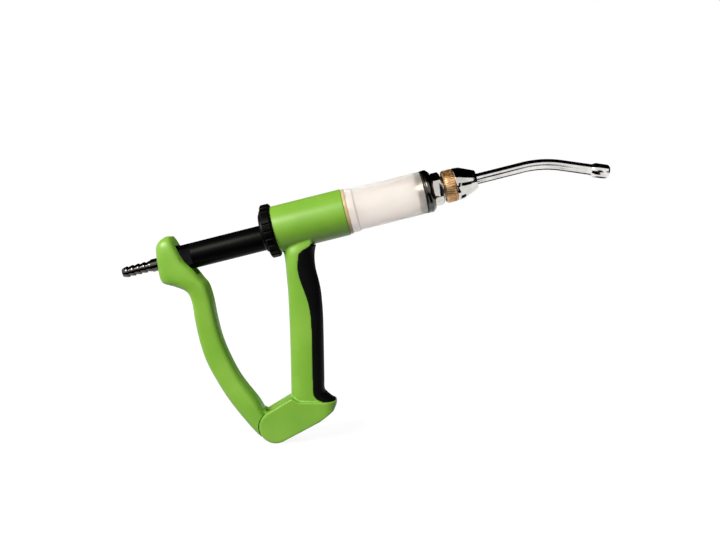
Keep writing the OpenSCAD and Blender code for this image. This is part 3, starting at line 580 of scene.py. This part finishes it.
def addHexUnion():
    rear, front = alongAxis("valve_body")
    hexRear = alongAxis("front_cap")[1]
    hexFront = alongAxis("lock_ring")[0] - unionShape["ringGap"]
    corner = outerRadius("valve_body")
    flatHalf = unionShape["flats"] / 2
    chamfer = unionShape["cornerChamfer"]
    bpy.ops.object.select_all(action="DESELECT")
    length = hexFront - hexRear + unionShape["spare"]
    bpy.ops.mesh.primitive_cylinder_add(vertices=6, radius=corner * mm, depth=length * mm,
                                        location=(0, 0, (hexRear + hexFront) / 2 * mm))
    hexagon = bpy.context.object
    hexagon.rotation_euler = (0, 0, math.radians(30))
    bpy.ops.object.transform_apply(location=True, rotation=True)
    hexagon.name = "hexUnion"
    settle(hexagon, layAlong(barrelStart))
    lathe = turnPiece("cornerCut", [
        (0, hexRear), (flatHalf, hexRear), (corner, hexRear + chamfer), (corner, hexFront - chamfer),
        (flatHalf, hexFront), (0, hexFront)], steps=96)
    carve(hexagon, lathe, "INTERSECT")
    thread = threadRadius()
    root = thread - unionShape["threadDepth"]
    pitch = unionShape["threadPitch"]
    outline = [(0, rear), (thread, rear), (thread, hexFront)]
    for turn in range(int((front - hexFront) / pitch)):
        crest = hexFront + turn * pitch
        outline += [(root, crest + pitch / 2), (thread, crest + pitch)]
    carve(hexagon, turnPiece("threadedStem", outline + [(0, front)], steps=96), "UNION")
    port = unionShape["port"]
    chamber = unionShape["chamber"]
    bore = turnPiece("unionBore", [(0, rear - 1), (port, rear - 1), (port, hexRear), (chamber, hexRear),
                                   (chamber, front + 1), (0, front + 1)])
    carve(hexagon, bore)
    roundEdges(hexagon, unionShape["rounding"], 2, 40)
    smoothFaces(hexagon, 25)
    dress(hexagon, chromePlate, "body", "chrome", "valve_body")


# Brass lock ring: a knurled band between two plain shoulders
lockShape = {"teeth": 44, "toothRise": 0.3, "shoulder": 1.3, "chamfer": 0.8, "rounding": 0.12}


def addLockRing():
    rear, front = alongAxis("lock_ring")
    outer = outerRadius("lock_ring")
    bore = threadRadius()
    teeth = lockShape["teeth"]
    rise = lockShape["toothRise"]
    shoulder = lockShape["shoulder"]
    chamfer = lockShape["chamfer"]
    bandLength = front - rear - 2 * shoulder
    bpy.ops.object.select_all(action="DESELECT")
    bpy.ops.mesh.primitive_cylinder_add(vertices=2 * teeth, radius=(outer - rise) * mm, depth=bandLength * mm)
    ring = bpy.context.object
    startEdit(ring, "brassLockRing")
    bpy.ops.transform.translate(value=(0, 0, (rear + front) / 2 * mm))
    bpy.ops.mesh.select_all(action="DESELECT")
    mesh = bmesh.from_edit_mesh(ring.data)
    for face in mesh.faces:
        angle = math.atan2(face.calc_center_median().y, face.calc_center_median().x)
        step = math.floor(angle / (math.pi / teeth))
        face.select = abs(face.normal.z) < 0.5 and step % 2 == 0
    bmesh.update_edit_mesh(ring.data)
    bpy.ops.mesh.extrude_region_shrink_fatten(TRANSFORM_OT_shrink_fatten={"value": rise * mm})
    bpy.ops.mesh.select_all(action="DESELECT")
    bpy.ops.object.mode_set(mode="OBJECT")
    settle(ring, layAlong(barrelStart))
    plain = outer - rise / 2
    core = turnPiece("lockShoulders", [
        (0, rear), (plain - chamfer, rear), (plain, rear + chamfer), (plain, rear + shoulder),
        (outer - 2 * rise, rear + shoulder + rise), (outer - 2 * rise, front - shoulder - rise),
        (plain, front - shoulder), (plain, front - chamfer), (plain - chamfer, front), (0, front)], steps=96)
    carve(ring, core, "UNION")
    carve(ring, turnPiece("lockBore", [(0, rear - 1), (bore, rear - 1), (bore, front + 1), (0, front + 1)],
                          steps=96))
    roundEdges(ring, lockShape["rounding"], 2, 35)
    smoothFaces(ring, 30)
    dress(ring, turnedBrass, "body", "brass", "lock_ring")


# Cone nut: a short straight collar, then a cone down to the nozzle
coneShape = {"collarShare": 0.3, "collarTaper": 0.4, "tipRadius": 6.7, "cavity": 6.55, "flange": 2,
             "fit": 0.05, "rounding": 0.4}


def addConeNut():
    rear, front = alongAxis("nozzle_nut")
    outer = outerRadius("nozzle_nut")
    thread = threadRadius()
    bore = nozzleShape["radius"] + coneShape["fit"]
    stemEnd = alongAxis("valve_body")[1]
    flangeEnd = alongAxis("nozzle_tube")[0] + coneShape["flange"] + coneShape["fit"]
    collarEnd = rear + (front - rear) * coneShape["collarShare"]
    nut = turnPiece("coneNut", [
        (thread, rear), (outer, rear), (outer - coneShape["collarTaper"], collarEnd),
        (coneShape["tipRadius"], front), (bore, front), (bore, flangeEnd), (coneShape["cavity"], flangeEnd),
        (coneShape["cavity"], stemEnd), (thread, stemEnd)], coneShape["rounding"])
    dress(nut, chromePlate, "body", "chrome", "nozzle_nut")


# Nozzle: a straight tube, one bend down, and a short straight run to the tip
nozzleShape = {"radius": 4, "wall": 1.2, "straight": 35, "bendRadius": 75, "bendAngle": math.radians(22),
               "reach": 33.5, "sides": 64, "bendSteps": 28, "flangeInset": 0.1}
tipShape = {"radius": 5.3, "length": 13, "mouth": 1.5, "mouthLean": 0.8, "back": 2.5, "backStep": 0.2,
            "rounding": 0.35}


def pastBend():
    # where an upright piece goes to lie along the nozzle's last run
    bendAt = alongAxis("nozzle_nut")[1] + nozzleShape["straight"]
    out = Matrix.Translation(Vector((nozzleShape["bendRadius"], 0, bendAt)) * mm)
    swing = Matrix.Rotation(nozzleShape["bendAngle"], 4, "Y")
    back = Matrix.Translation(Vector((-nozzleShape["bendRadius"], 0, 0)) * mm)
    return layAlong(barrelStart) @ out @ swing @ back


def addNozzle():
    rear = alongAxis("nozzle_tube")[0]
    bendAt = alongAxis("nozzle_nut")[1] + nozzleShape["straight"]
    bend = nozzleShape["bendAngle"]
    lastRun = Vector((math.sin(bend), 0, math.cos(bend))) * nozzleShape["reach"] * mm
    bpy.ops.object.select_all(action="DESELECT")
    bpy.ops.mesh.primitive_circle_add(vertices=nozzleShape["sides"], radius=nozzleShape["radius"] * mm)
    tube = bpy.context.object
    startEdit(tube, "nozzleTube")
    bpy.ops.transform.translate(value=(0, 0, rear * mm))
    bpy.ops.mesh.extrude_region_move(TRANSFORM_OT_translate={"value": (0, 0, (bendAt - rear) * mm)})
    bpy.ops.mesh.spin(steps=nozzleShape["bendSteps"], angle=-bend, axis=(0, 1, 0),
                      center=(nozzleShape["bendRadius"] * mm, 0, bendAt * mm))
    bpy.ops.mesh.extrude_region_move(TRANSFORM_OT_translate={"value": lastRun})
    endEdit()
    applyModifier(tube, "SOLIDIFY", {"thickness": nozzleShape["wall"] * mm, "offset": -1})
    settle(tube, layAlong(barrelStart))
    inside = nozzleShape["radius"] - nozzleShape["wall"] / 2
    flangeR = coneShape["cavity"] - coneShape["fit"]
    flangeEnd = rear + coneShape["flange"]
    flangeAt = rear + nozzleShape["flangeInset"]
    flange = turnPiece("nozzleFlange", [
        (inside, flangeAt), (flangeR, flangeAt), (flangeR, flangeEnd), (inside, flangeEnd)])
    carve(tube, flange, "UNION")
    smoothFaces(tube)
    dress(tube, polishedStainless, "nozzle", "polished_steel", "nozzle_tube")
    reach = nozzleShape["reach"]
    end = reach + tipShape["mouth"]
    start = end - tipShape["length"]
    tubeR = nozzleShape["radius"]
    tipR = tipShape["radius"]
    bore = tubeR - nozzleShape["wall"]
    tip = turnPiece("nozzleTip", [
        (tubeR, start), (tubeR + tipShape["backStep"], start), (tipR, start + tipShape["back"]),
        (tipR, end - tipShape["mouth"]), (tipR - tipShape["mouth"] * tipShape["mouthLean"], end), (bore, end),
        (bore, reach), (tubeR, reach)],
        tipShape["rounding"], place=pastBend())
    dress(tip, polishedStainless, "nozzle", "polished_steel", "nozzle_tip")


# Dose ring: a black ring with finger notches cut round its rim
ringShape = {"notches": 24, "notchRadius": 1.2, "notchOut": 0.4, "notchSpare": 4, "bore": 14.55,
             "chamfer": 0.8, "rounding": 0.3}


def addDoseRing():
    rear, front = alongAxis("dose_ring")
    outer = outerRadius("dose_ring")
    chamfer = ringShape["chamfer"]
    ring = turnPiece("doseRing", [
        (ringShape["bore"], rear), (outer - chamfer, rear), (outer, rear + chamfer), (outer, front - chamfer),
        (outer - chamfer, front), (ringShape["bore"], front)], steps=192)
    bpy.ops.object.select_all(action="DESELECT")
    bpy.ops.mesh.primitive_cylinder_add(vertices=24, radius=ringShape["notchRadius"] * mm,
                                        depth=(front - rear + ringShape["notchSpare"]) * mm)
    cutters = bpy.context.object
    startEdit(cutters, "notchCutters")
    bpy.ops.transform.translate(value=((outer + ringShape["notchOut"]) * mm, 0, (rear + front) / 2 * mm))
    bpy.ops.mesh.spin(steps=ringShape["notches"], angle=2 * math.pi, dupli=True, center=(0, 0, 0),
                      axis=(0, 0, 1))
    endEdit()
    settle(cutters, layAlong(barrelStart))
    carve(ring, cutters)
    roundEdges(ring, ringShape["rounding"], 2, 38)
    smoothFaces(ring, 30)
    dress(ring, blackNylon, "dose_ring", "black_nylon", "dose_ring")


# Plunger tube and the barbed hose tail, both on the lower axis
tubeShape = {"wall": 2.5, "rounding": 0.6}
tailShape = {"bore": 2.2, "barbs": 5, "pitch": 4.5, "crest": 4.1, "root": 3.2, "land": 1.2, "rootLand": 0.2,
             "shank": 4.8, "shankLength": 6.3, "collar": 6.5, "collarLength": 2.4, "thread": 4.5,
             "threadLength": 7.3, "rounding": 0.14}


def addPlungerTube():
    rear, front = alongAxis("plunger_tube")
    outer = outerRadius("plunger_tube", plungerStart)
    inner = outer - tubeShape["wall"]
    tube = turnPiece("plungerTube", [(inner, rear), (outer, rear), (outer, front), (inner, front)],
                     tubeShape["rounding"], place=layAlong(plungerStart))
    dress(tube, blackNylon, "plunger", "black_nylon", "plunger_tube")


def addHoseTail():
    rear = alongAxis("hose_tail")[0]
    shape = tailShape
    outline = [(shape["bore"], rear)]
    for barb in range(shape["barbs"]):
        tip = rear + barb * shape["pitch"]
        crestEnd = tip + shape["pitch"] - shape["rootLand"]
        outline += [(shape["root"], tip), (shape["crest"], crestEnd - shape["land"]),
                    (shape["crest"], crestEnd), (shape["root"], crestEnd)]
    shankAt = rear + shape["barbs"] * shape["pitch"]
    collarAt = shankAt + shape["shankLength"]
    collarEnd = collarAt + shape["collarLength"]
    threadEnd = collarEnd + shape["threadLength"]
    outline += [(shape["shank"], shankAt), (shape["shank"], collarAt), (shape["collar"], collarAt),
                (shape["collar"], collarEnd), (shape["thread"], collarEnd), (shape["thread"], threadEnd),
                (shape["bore"], threadEnd)]
    tail = turnPiece("hoseTail", outline, shape["rounding"], 80, layAlong(plungerStart), 2)
    dress(tail, darkNickel, "plunger", "dark_nickel", "hose_tail")


# Rounded lofts for the frame, the pad and the lever
def squared(value, power):
    return math.copysign(abs(value) ** (2 / power), value)


def smoothRows(rows, steps):
    # runs a smooth curve through a list of rows
    fine = []
    for i in range(len(rows) - 1):
        a, b, c, d = [Vector(rows[max(0, min(len(rows) - 1, i + k))]) for k in (-1, 0, 1, 2)]
        for step in range(steps):
            t = step / steps
            bow = (2 * a - 5 * b + 4 * c - d) * t ** 2 + (3 * b - a - 3 * c + d) * t ** 3
            fine.append(0.5 * (2 * b + (c - a) * t + bow))
    return fine + [Vector(rows[-1])]


def loft(name, rings):
    # extrudes a ring of vertices through every cross-section, closed at both ends
    bpy.ops.object.select_all(action="DESELECT")
    bpy.ops.mesh.primitive_circle_add(vertices=len(rings[0]), radius=mm, fill_type="NGON")
    piece = bpy.context.object
    startEdit(piece, name)
    mesh = bmesh.from_edit_mesh(piece.data)
    spot = mesh.verts.layers.int.new("spot")
    for index, vertex in enumerate(mesh.verts):
        vertex[spot] = index
    for count, ring in enumerate(rings):
        if count:
            bpy.ops.mesh.extrude_region_move()
        mesh = bmesh.from_edit_mesh(piece.data)
        spot = mesh.verts.layers.int["spot"]
        for vertex in mesh.verts:
            if vertex.select:
                vertex.co = Vector(ring[vertex[spot]]) * mm
        bmesh.update_edit_mesh(piece.data)
    endEdit()
    return piece


def acrossAt(x, z):
    # where an upright piece goes to lie across the gun
    return Matrix.Translation(Vector((x, 0, z)) * mm) @ Matrix.Rotation(-math.pi / 2, 4, "X")


def crossPin(name, centre, radius, start, end):
    return turnPiece(name, [(0, start), (radius, start), (radius, end), (0, end)], steps=96,
                     place=acrossAt(centre.x, centre.z))


def slab(name, outline, start, end):
    # a plate in the plane of the gun, from one side station to the other
    piece = startOutline(name, outline)
    bpy.ops.mesh.select_all(action="SELECT")
    bpy.ops.mesh.edge_face_add()
    bpy.ops.transform.translate(value=(0, start * mm, 0))
    bpy.ops.mesh.extrude_region_move(TRANSFORM_OT_translate={"value": (0, (end - start) * mm, 0)})
    endEdit()
    return piece


def meltTogether(piece, others, voxelMm, passes):
    # remeshes overlapping solids into one moulding with soft inner corners
    pickOnly(piece)
    for other in others:
        other.select_set(True)
    bpy.ops.object.join()
    applyModifier(piece, "REMESH", {"mode": "VOXEL", "voxel_size": voxelMm * mm})
    applyModifier(piece, "SMOOTH", {"factor": 0.5, "iterations": passes})


# Green frame: barrel housing, handle, foot and clevis in one moulding.
# Handle rows: share of the height, back edge, border with the pad, front of the pad
pivot = leverPivot / mm
frameShape = {"housingRear": -23.5, "housing": 17.25, "rim": 0.7, "spigotAt": 16, "flangeAt": 0,
              "flangeRadius": 15, "handleHalf": 11.5, "power": 2.6, "rise": 58, "drop": 57, "depth": 25,
              "backStart": -18.629, "sides": 28, "footHalf": 13, "cheek": 12.5, "slot": 15, "slotHalf": 8,
              "pin": 2.5, "pinStart": -11, "toe": 22.5, "footDrop": 19, "voxel": 0.6, "passes": 7,
              "footRounding": 1.6, "heel": (-0.55, 0.83), "sole": (0.32, -0.94), "roundWithin": 0.15,
              "rimSteps": 6, "rimLap": 0.05, "rimCover": 1.05, "trimOut": 3, "trimAhead": 5, "bushFit": 0.05}
handleRows = [
    (1.1045, 0.025, 0.16, 0.32), (1.035, 0.045, 0.14, 0.28), (0.94, 0.081, -0.168, 0.244),
    (0.84, 0.113, -0.216, 0.24), (0.72, 0.137, -0.22, 0.276), (0.58, 0.161, -0.144, 0.36),
    (0.45, 0.185, -0.032, 0.42), (0.3, 0.197, 0.08, 0.456), (0.14, 0.213, 0.144, 0.48),
    (-0.07, 0.225, 0.172, 0.492), (-0.35, 0.237, 0.184, 0.5), (-0.7, 0.245, 0.192, 0.508),
    (-0.86, 0.249, 0.196, 0.516), (-0.92, 0.249, 0.232, 0.62), (-0.965, 0.249, 0.32, 0.74),
    (-1, 0.249, 0.5, 0.86)]
footRows = [(-0.5, 0.16), (-0.27, 0), (0.955, 0), (1, -0.105), (0.89, -0.37), (0.43, -0.79), (-0.22, -1.21)]


def handleRing(row, front):
    # half of the handle's section: its green back, or the pad on its front
    shape = frameShape
    border = shape["depth"] * row[2]
    edge = shape["depth"] * row[3] if front else shape["depth"] * row[1] + shape["backStart"]
    z = row[0] * (shape["rise"] if row[0] > 0 else shape["drop"])
    ring = []
    for k in range(shape["sides"] + 1):
        turn = math.pi * (k / shape["sides"] - 0.5)
        x = border + (edge - border) * squared(math.cos(turn), shape["power"])
        ring.append((x, shape["handleHalf"] * squared(math.sin(turn), shape["power"]), z))
    return ring


def housingSolid(name, grow):
    rear = frameShape["housingRear"] - grow
    front = alongAxis("barrel_gasket")[0] + grow
    radius = frameShape["housing"]
    return turnPiece(name, [(0, rear), (radius, rear), (radius, front), (0, front)])


def footPlan():
    # the foot from above: straight sides, and a toe that is round like the pad's end
    shape = frameShape
    start = shape["depth"] * handleRows[-1][2]
    turns = [math.pi * (k / shape["sides"] - 0.5) for k in range(shape["sides"] + 1)]
    front = [(start + (shape["toe"] - start) * squared(math.cos(t), shape["power"]),
              shape["footHalf"] * squared(math.sin(t), shape["power"])) for t in turns]
    rear = pivot.x - shape["cheek"]
    outline = [(rear, -shape["footHalf"])] + front + [(rear, shape["footHalf"])]
    plan = slab("footPlan", outline, pivot.z - 2 * shape["cheek"], pivot.z + 3 * shape["cheek"])
    settle(plan, Matrix.Rotation(math.pi / 2, 4, "X"))
    return plan


def addFrame():
    shape = frameShape
    rear = shape["housingRear"]
    front = alongAxis("barrel_gasket")[0]
    radius = shape["housing"]
    moulding = loft("greenFrame", [handleRing(row, False) for row in smoothRows(handleRows, 4)])
    toe = [(shape["toe"] * a, shape["footDrop"] * b - shape["drop"]) for a, b in footRows]
    heel, sole = [(pivot.x + a * shape["cheek"], pivot.z + b * shape["cheek"])
                  for a, b in (shape["heel"], shape["sole"])]
    foot = slab("foot", [heel] + toe + [sole], -shape["footHalf"] - 1, shape["footHalf"] + 1)
    carve(foot, footPlan(), "INTERSECT")
    roundEdges(foot, shape["footRounding"], 3, 60)
    cheeks = crossPin("cheeks", pivot, shape["cheek"], -shape["footHalf"], shape["footHalf"])
    roundEdges(cheeks, shape["footRounding"], 3, 60)
    meltTogether(moulding, [foot, cheeks, housingSolid("housing", 2)], shape["voxel"], shape["passes"])
    for vertex in moulding.data.vertices:
        # the housing stays truly round
        station = (vertex.co - barrelStart).dot(barrelAxis)
        onAxis = barrelStart + barrelAxis * station
        out = vertex.co - onAxis
        if station > rear * mm and abs(out.length - radius * mm) < shape["roundWithin"] * mm:
            vertex.co = onAxis + out * (radius * mm / out.length)
    rim = shape["rim"]
    for end, way in ((front, 1), (rear, -1)):
        turns = [k * math.pi / 2 / shape["rimSteps"] for k in range(shape["rimSteps"] + 1)]
        arc = [(radius - rim + rim * math.sin(t), end - way * rim * (1 - math.cos(t))) for t in turns]
        covered = end - way * rim * shape["rimCover"]
        ahead = end + way * shape["trimAhead"]
        beyond = radius + shape["trimOut"]
        trim = turnPiece("rimTrim", [(0, end)] + arc + [
            (radius + shape["rimLap"], covered), (beyond, covered), (beyond, ahead), (0, ahead)])
        carve(moulding, trim)
    barrelR = outerRadius("barrel") - barrelShape["lipRise"]
    bushR = ringShape["bore"] - shape["bushFit"]
    flangeR = shape["flangeRadius"]
    bore = turnPiece("housingBore", [
        (0, rear - 1), (bushR, rear - 1), (bushR, shape["flangeAt"]), (flangeR, shape["flangeAt"]),
        (flangeR, shape["spigotAt"]), (barrelR, shape["spigotAt"]), (barrelR, front + 1), (0, front + 1)])
    carve(moulding, bore)
    carve(moulding, crossPin("clevisSlot", pivot, shape["slot"], -shape["slotHalf"], shape["slotHalf"]))
    carve(moulding, crossPin("pinHole", pivot, shape["pin"], shape["pinStart"], shape["footHalf"] + 1))
    smoothFaces(moulding, 40)
    dress(moulding, greenNylon, "body", "green_nylon", "body_frame")


# Black pad on the front of the handle
padShape = {"firstRow": 1, "rounding": 0.7}


def addPad():
    rows = smoothRows(handleRows, 4)[4 * padShape["firstRow"]:]
    pad = loft("gripPad", [handleRing(row, True) for row in rows])
    carve(pad, housingSolid("padCut", 0))
    roundEdges(pad, padShape["rounding"], 3, 50)
    smoothFaces(pad, 40)
    dress(pad, gripRubber, "body", "grip_rubber", "grip_pad")


# Squeeze lever: a curved arm from the clevis to the hooded head.
# Rows: share of the way from pivot to head, outer edge x and z, inner edge x and z, head width
leverShape = {"depth": 20, "half": 9, "headHalf": 12.4, "power": 3.6, "headPower": 2.5, "headFrom": 0.85,
              "sides": 56, "shoulder": 13, "cutHalf": 20, "lug": 11.5, "lugShare": 0.6, "lugInner": 4,
              "lugOuter": 7.7, "neckHalf": 3.5, "neckInset": 0.05, "bush": 4.05, "bushHalf": 14.8,
              "tunnelHalf": 7.8, "slotHalf": 3.7, "slotOuter": 10.86, "slotSteps": 10, "voxel": 0.55,
              "passes": 5}
leverRows = [
    (0, -0.325, -0.55, -0.35, 0.4, 1), (0, -0.675, -0.35, -0.46, 0.55, 1),
    (0.1, -0.85, -0.375, -0.325, 0.325, 0.85), (0.2, -1.05, -0.275, -0.3, 0.15, 0.5),
    (0.3, -1.125, -0.2, -0.3, 0.05, 0.2), (0.42, -1.075, -0.2, -0.225, 0.025, 0),
    (0.54, -0.875, -0.2, -0.05, -0.05, 0), (0.66, -0.6, -0.125, 0.2, -0.05, 0.15),
    (0.78, -0.25, -0.225, 0.5, -0.075, 0.35), (0.9, 0, -0.575, 0.775, -0.3, 0.6),
    (1, -0.125, -1, 0.925, -0.65, 0.85), (1, -0.6, -0.85, 0.7, -0.35, 1), (1, -0.725, -0.2, 0.375, -0.05, 1),
    (1, -0.75, 0.375, 0.1, 0.4, 1), (1, -0.64, 0.65, -0.05, 0.675, 0.6), (1, -0.38, 0.85, -0.175, 0.85, -0.3)]
tunnelOutline = [(-10.1, 20), (-10.1, -30), (18.5, -30), (16.5, 2), (12.5, 20)]
trunnion = sum(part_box("trunnion_pins"), Vector()) / 2 / mm


def leverRing(row):
    shape = leverShape
    base = pivot + (trunnion - pivot) * row[0]
    outer = base + Vector((row[1], 0, row[2])) * shape["depth"]
    inner = base + Vector((row[3], 0, row[4])) * shape["depth"]
    half = shape["half"] + (shape["headHalf"] - shape["half"]) * row[5]
    headShare = min(max((row[0] - shape["headFrom"]) / (1 - shape["headFrom"]), 0), 1)
    backPower = shape["power"] + (shape["headPower"] - shape["power"]) * headShare
    ring = []
    for k in range(shape["sides"]):
        turn = 2 * math.pi * k / shape["sides"]
        power = shape["power"] if math.cos(turn) > 0 else backPower     # the head's back is rounder
        point = (outer + inner) / 2 + (inner - outer) / 2 * squared(math.cos(turn), power)
        ring.append((point.x, half * squared(math.sin(turn), power), point.z))
    return ring


def addLever():
    shape = leverShape
    lever = loft("squeezeLever", [leverRing(row) for row in smoothRows(leverRows, 5)])
    meltTogether(lever, [], shape["voxel"], shape["passes"])
    carve(lever, crossPin("shoulderCut", pivot, shape["shoulder"], -shape["cutHalf"], shape["cutHalf"]))
    root = leverRows[2]
    neckEnd = pivot + (trunnion - pivot) * root[0]
    neckEnd += Vector((root[1] + root[3], 0, root[2] + root[4])) * shape["depth"] / 2
    along = (neckEnd - pivot).normalized()
    beside = Vector((-along.z, 0, along.x))
    wide = shape["lug"] * shape["lugShare"]
    inset = shape["neckInset"]
    corners = [pivot + beside * wide, neckEnd + beside * shape["neckHalf"],
               neckEnd - beside * shape["neckHalf"], pivot - beside * wide]
    for start, end in ((-shape["lugOuter"], -shape["lugInner"]), (shape["lugInner"], shape["lugOuter"])):
        lug = crossPin("lug", pivot, shape["lug"], start, end)
        carve(lug, slab("lugNeck", [(c.x, c.z) for c in corners], start + inset, end - inset), "UNION")
        carve(lever, lug, "UNION")
    down = Vector((0, 1, 0)).cross(barrelAxis)
    places = [trunnion + down * drop + barrelAxis * run for drop, run in tunnelOutline]
    carve(lever, slab("tunnel", [(p.x, p.z) for p in places], -shape["tunnelHalf"], shape["tunnelHalf"]))
    arm = trunnion - pivot
    travel = arm.length + arm.dot(down)     # how far the trunnion comes nearer to the pivot
    nearest = trunnion - arm.normalized() * travel
    lean = math.atan2(arm.z, arm.x)
    half = shape["slotHalf"]
    slot = []
    for centre, first in ((trunnion, lean - math.pi / 2), (nearest, lean + math.pi / 2)):
        turns = [first + math.pi * k / shape["slotSteps"] for k in range(shape["slotSteps"] + 1)]
        slot += [(centre.x + half * math.cos(t), centre.z + half * math.sin(t)) for t in turns]
    inside = shape["tunnelHalf"] - 1
    for start, end in ((-shape["slotOuter"], -inside), (inside, shape["slotOuter"])):
        carve(lever, slab("trunnionSlot", slot, start, end))
    carve(lever, crossPin("bushHole", pivot, shape["bush"], -shape["bushHalf"], shape["bushHalf"]))
    smoothFaces(lever, 40)
    dress(lever, greenNylon, "lever", "green_nylon", "rear_lever")


# Rivet-headed pivot pin
pinShape = {"head": 4.5, "headRise": 1.5, "headEdge": 0.3, "domeSteps": 8}


def addPivotPin():
    start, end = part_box("pivot_pin")[0].y / mm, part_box("pivot_pin")[1].y / mm
    headAt = end - pinShape["headRise"]
    edge = pinShape["headEdge"]
    turns = [k * math.pi / 2 / pinShape["domeSteps"] for k in range(pinShape["domeSteps"])]
    dome = [(pinShape["head"] * math.cos(t), headAt + edge + (pinShape["headRise"] - edge) * math.sin(t))
            for t in turns]
    shank = frameShape["pin"]
    outline = [(0, start), (shank, start), (shank, headAt), (pinShape["head"], headAt)]
    pin = turnPiece("pivotPin", outline + dome + [(0, end)], 0, 64, acrossAt(pivot.x, pivot.z))
    dress(pin, machinedSteel, "body", "steel", "pivot_pin")


# Valve springs: fine coils round the axis, each carried by its body
coilShape = {"stepsPerTurn": 24, "wireSides": 12}
springShapes = {
    "inlet_spring": {"piece": "inletSpring", "wire": 0.3, "turns": 2, "joint": "inlet_valve_lift",
                     "body": "plunger", "start": plungerStart},
    "delivery_spring": {"piece": "deliverySpring", "wire": 0.45, "turns": 5, "joint": "delivery_valve_lift",
                        "body": "body", "start": barrelStart},
}


def coilRing(middle, wire, angle, station):
    ring = []
    for side in range(coilShape["wireSides"]):
        turn = 2 * math.pi * side / coilShape["wireSides"]
        radius = middle + wire * math.cos(turn)
        ring.append((radius * math.cos(angle), radius * math.sin(angle), station + wire * math.sin(turn)))
    return ring


def addValveSprings():
    for node, shape in springShapes.items():
        rear, front = alongAxis(node)
        wire = shape["wire"]
        middle = outerRadius(node, shape["start"]) - wire
        count = shape["turns"] * coilShape["stepsPerTurn"]
        rise = (front - rear - 2 * wire) / count
        spring = loft(shape["piece"], [
            coilRing(middle, wire, 2 * math.pi * k / coilShape["stepsPerTurn"], rear + wire + rise * k)
            for k in range(count + 1)])
        settle(spring, layAlong(shape["start"]))
        smoothFaces(spring, 50)
        dress(spring, machinedSteel, shape["body"], "steel", node)
        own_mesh(spring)


for build in (addBarrel, addGasket, addFrontCap, addHexUnion, addLockRing, addConeNut, addNozzle, addDoseRing,
              addPlungerTube, addHoseTail, addPivotPin, addValveSprings, addFrame, addPad, addLever):
    build()
    print("built by", build.__name__)

# Pieces carried over from the frame: inner fits, seals, valves and the return spring
carried = {
    machinedSteel: ("trunnion_pins", "return_spring"),
    blackenedSteel: ("rear_coupling", "dose_ring_clip"),
    turnedBrass: ("lever_bushes",),
    blackNylon: ("guide_bush",),
    whiteAcetal: ("piston", "inlet_retainer", "delivery_valve"),
    nitrileRubber: ("front_cap_seal", "delivery_seat", "nozzle_seal", "piston_seal", "hose_tail_washer",
                    "inlet_valve"),
}
for material, names in carried.items():
    for name in names:
        nodes[name].data.materials.clear()
        nodes[name].data.materials.append(material)
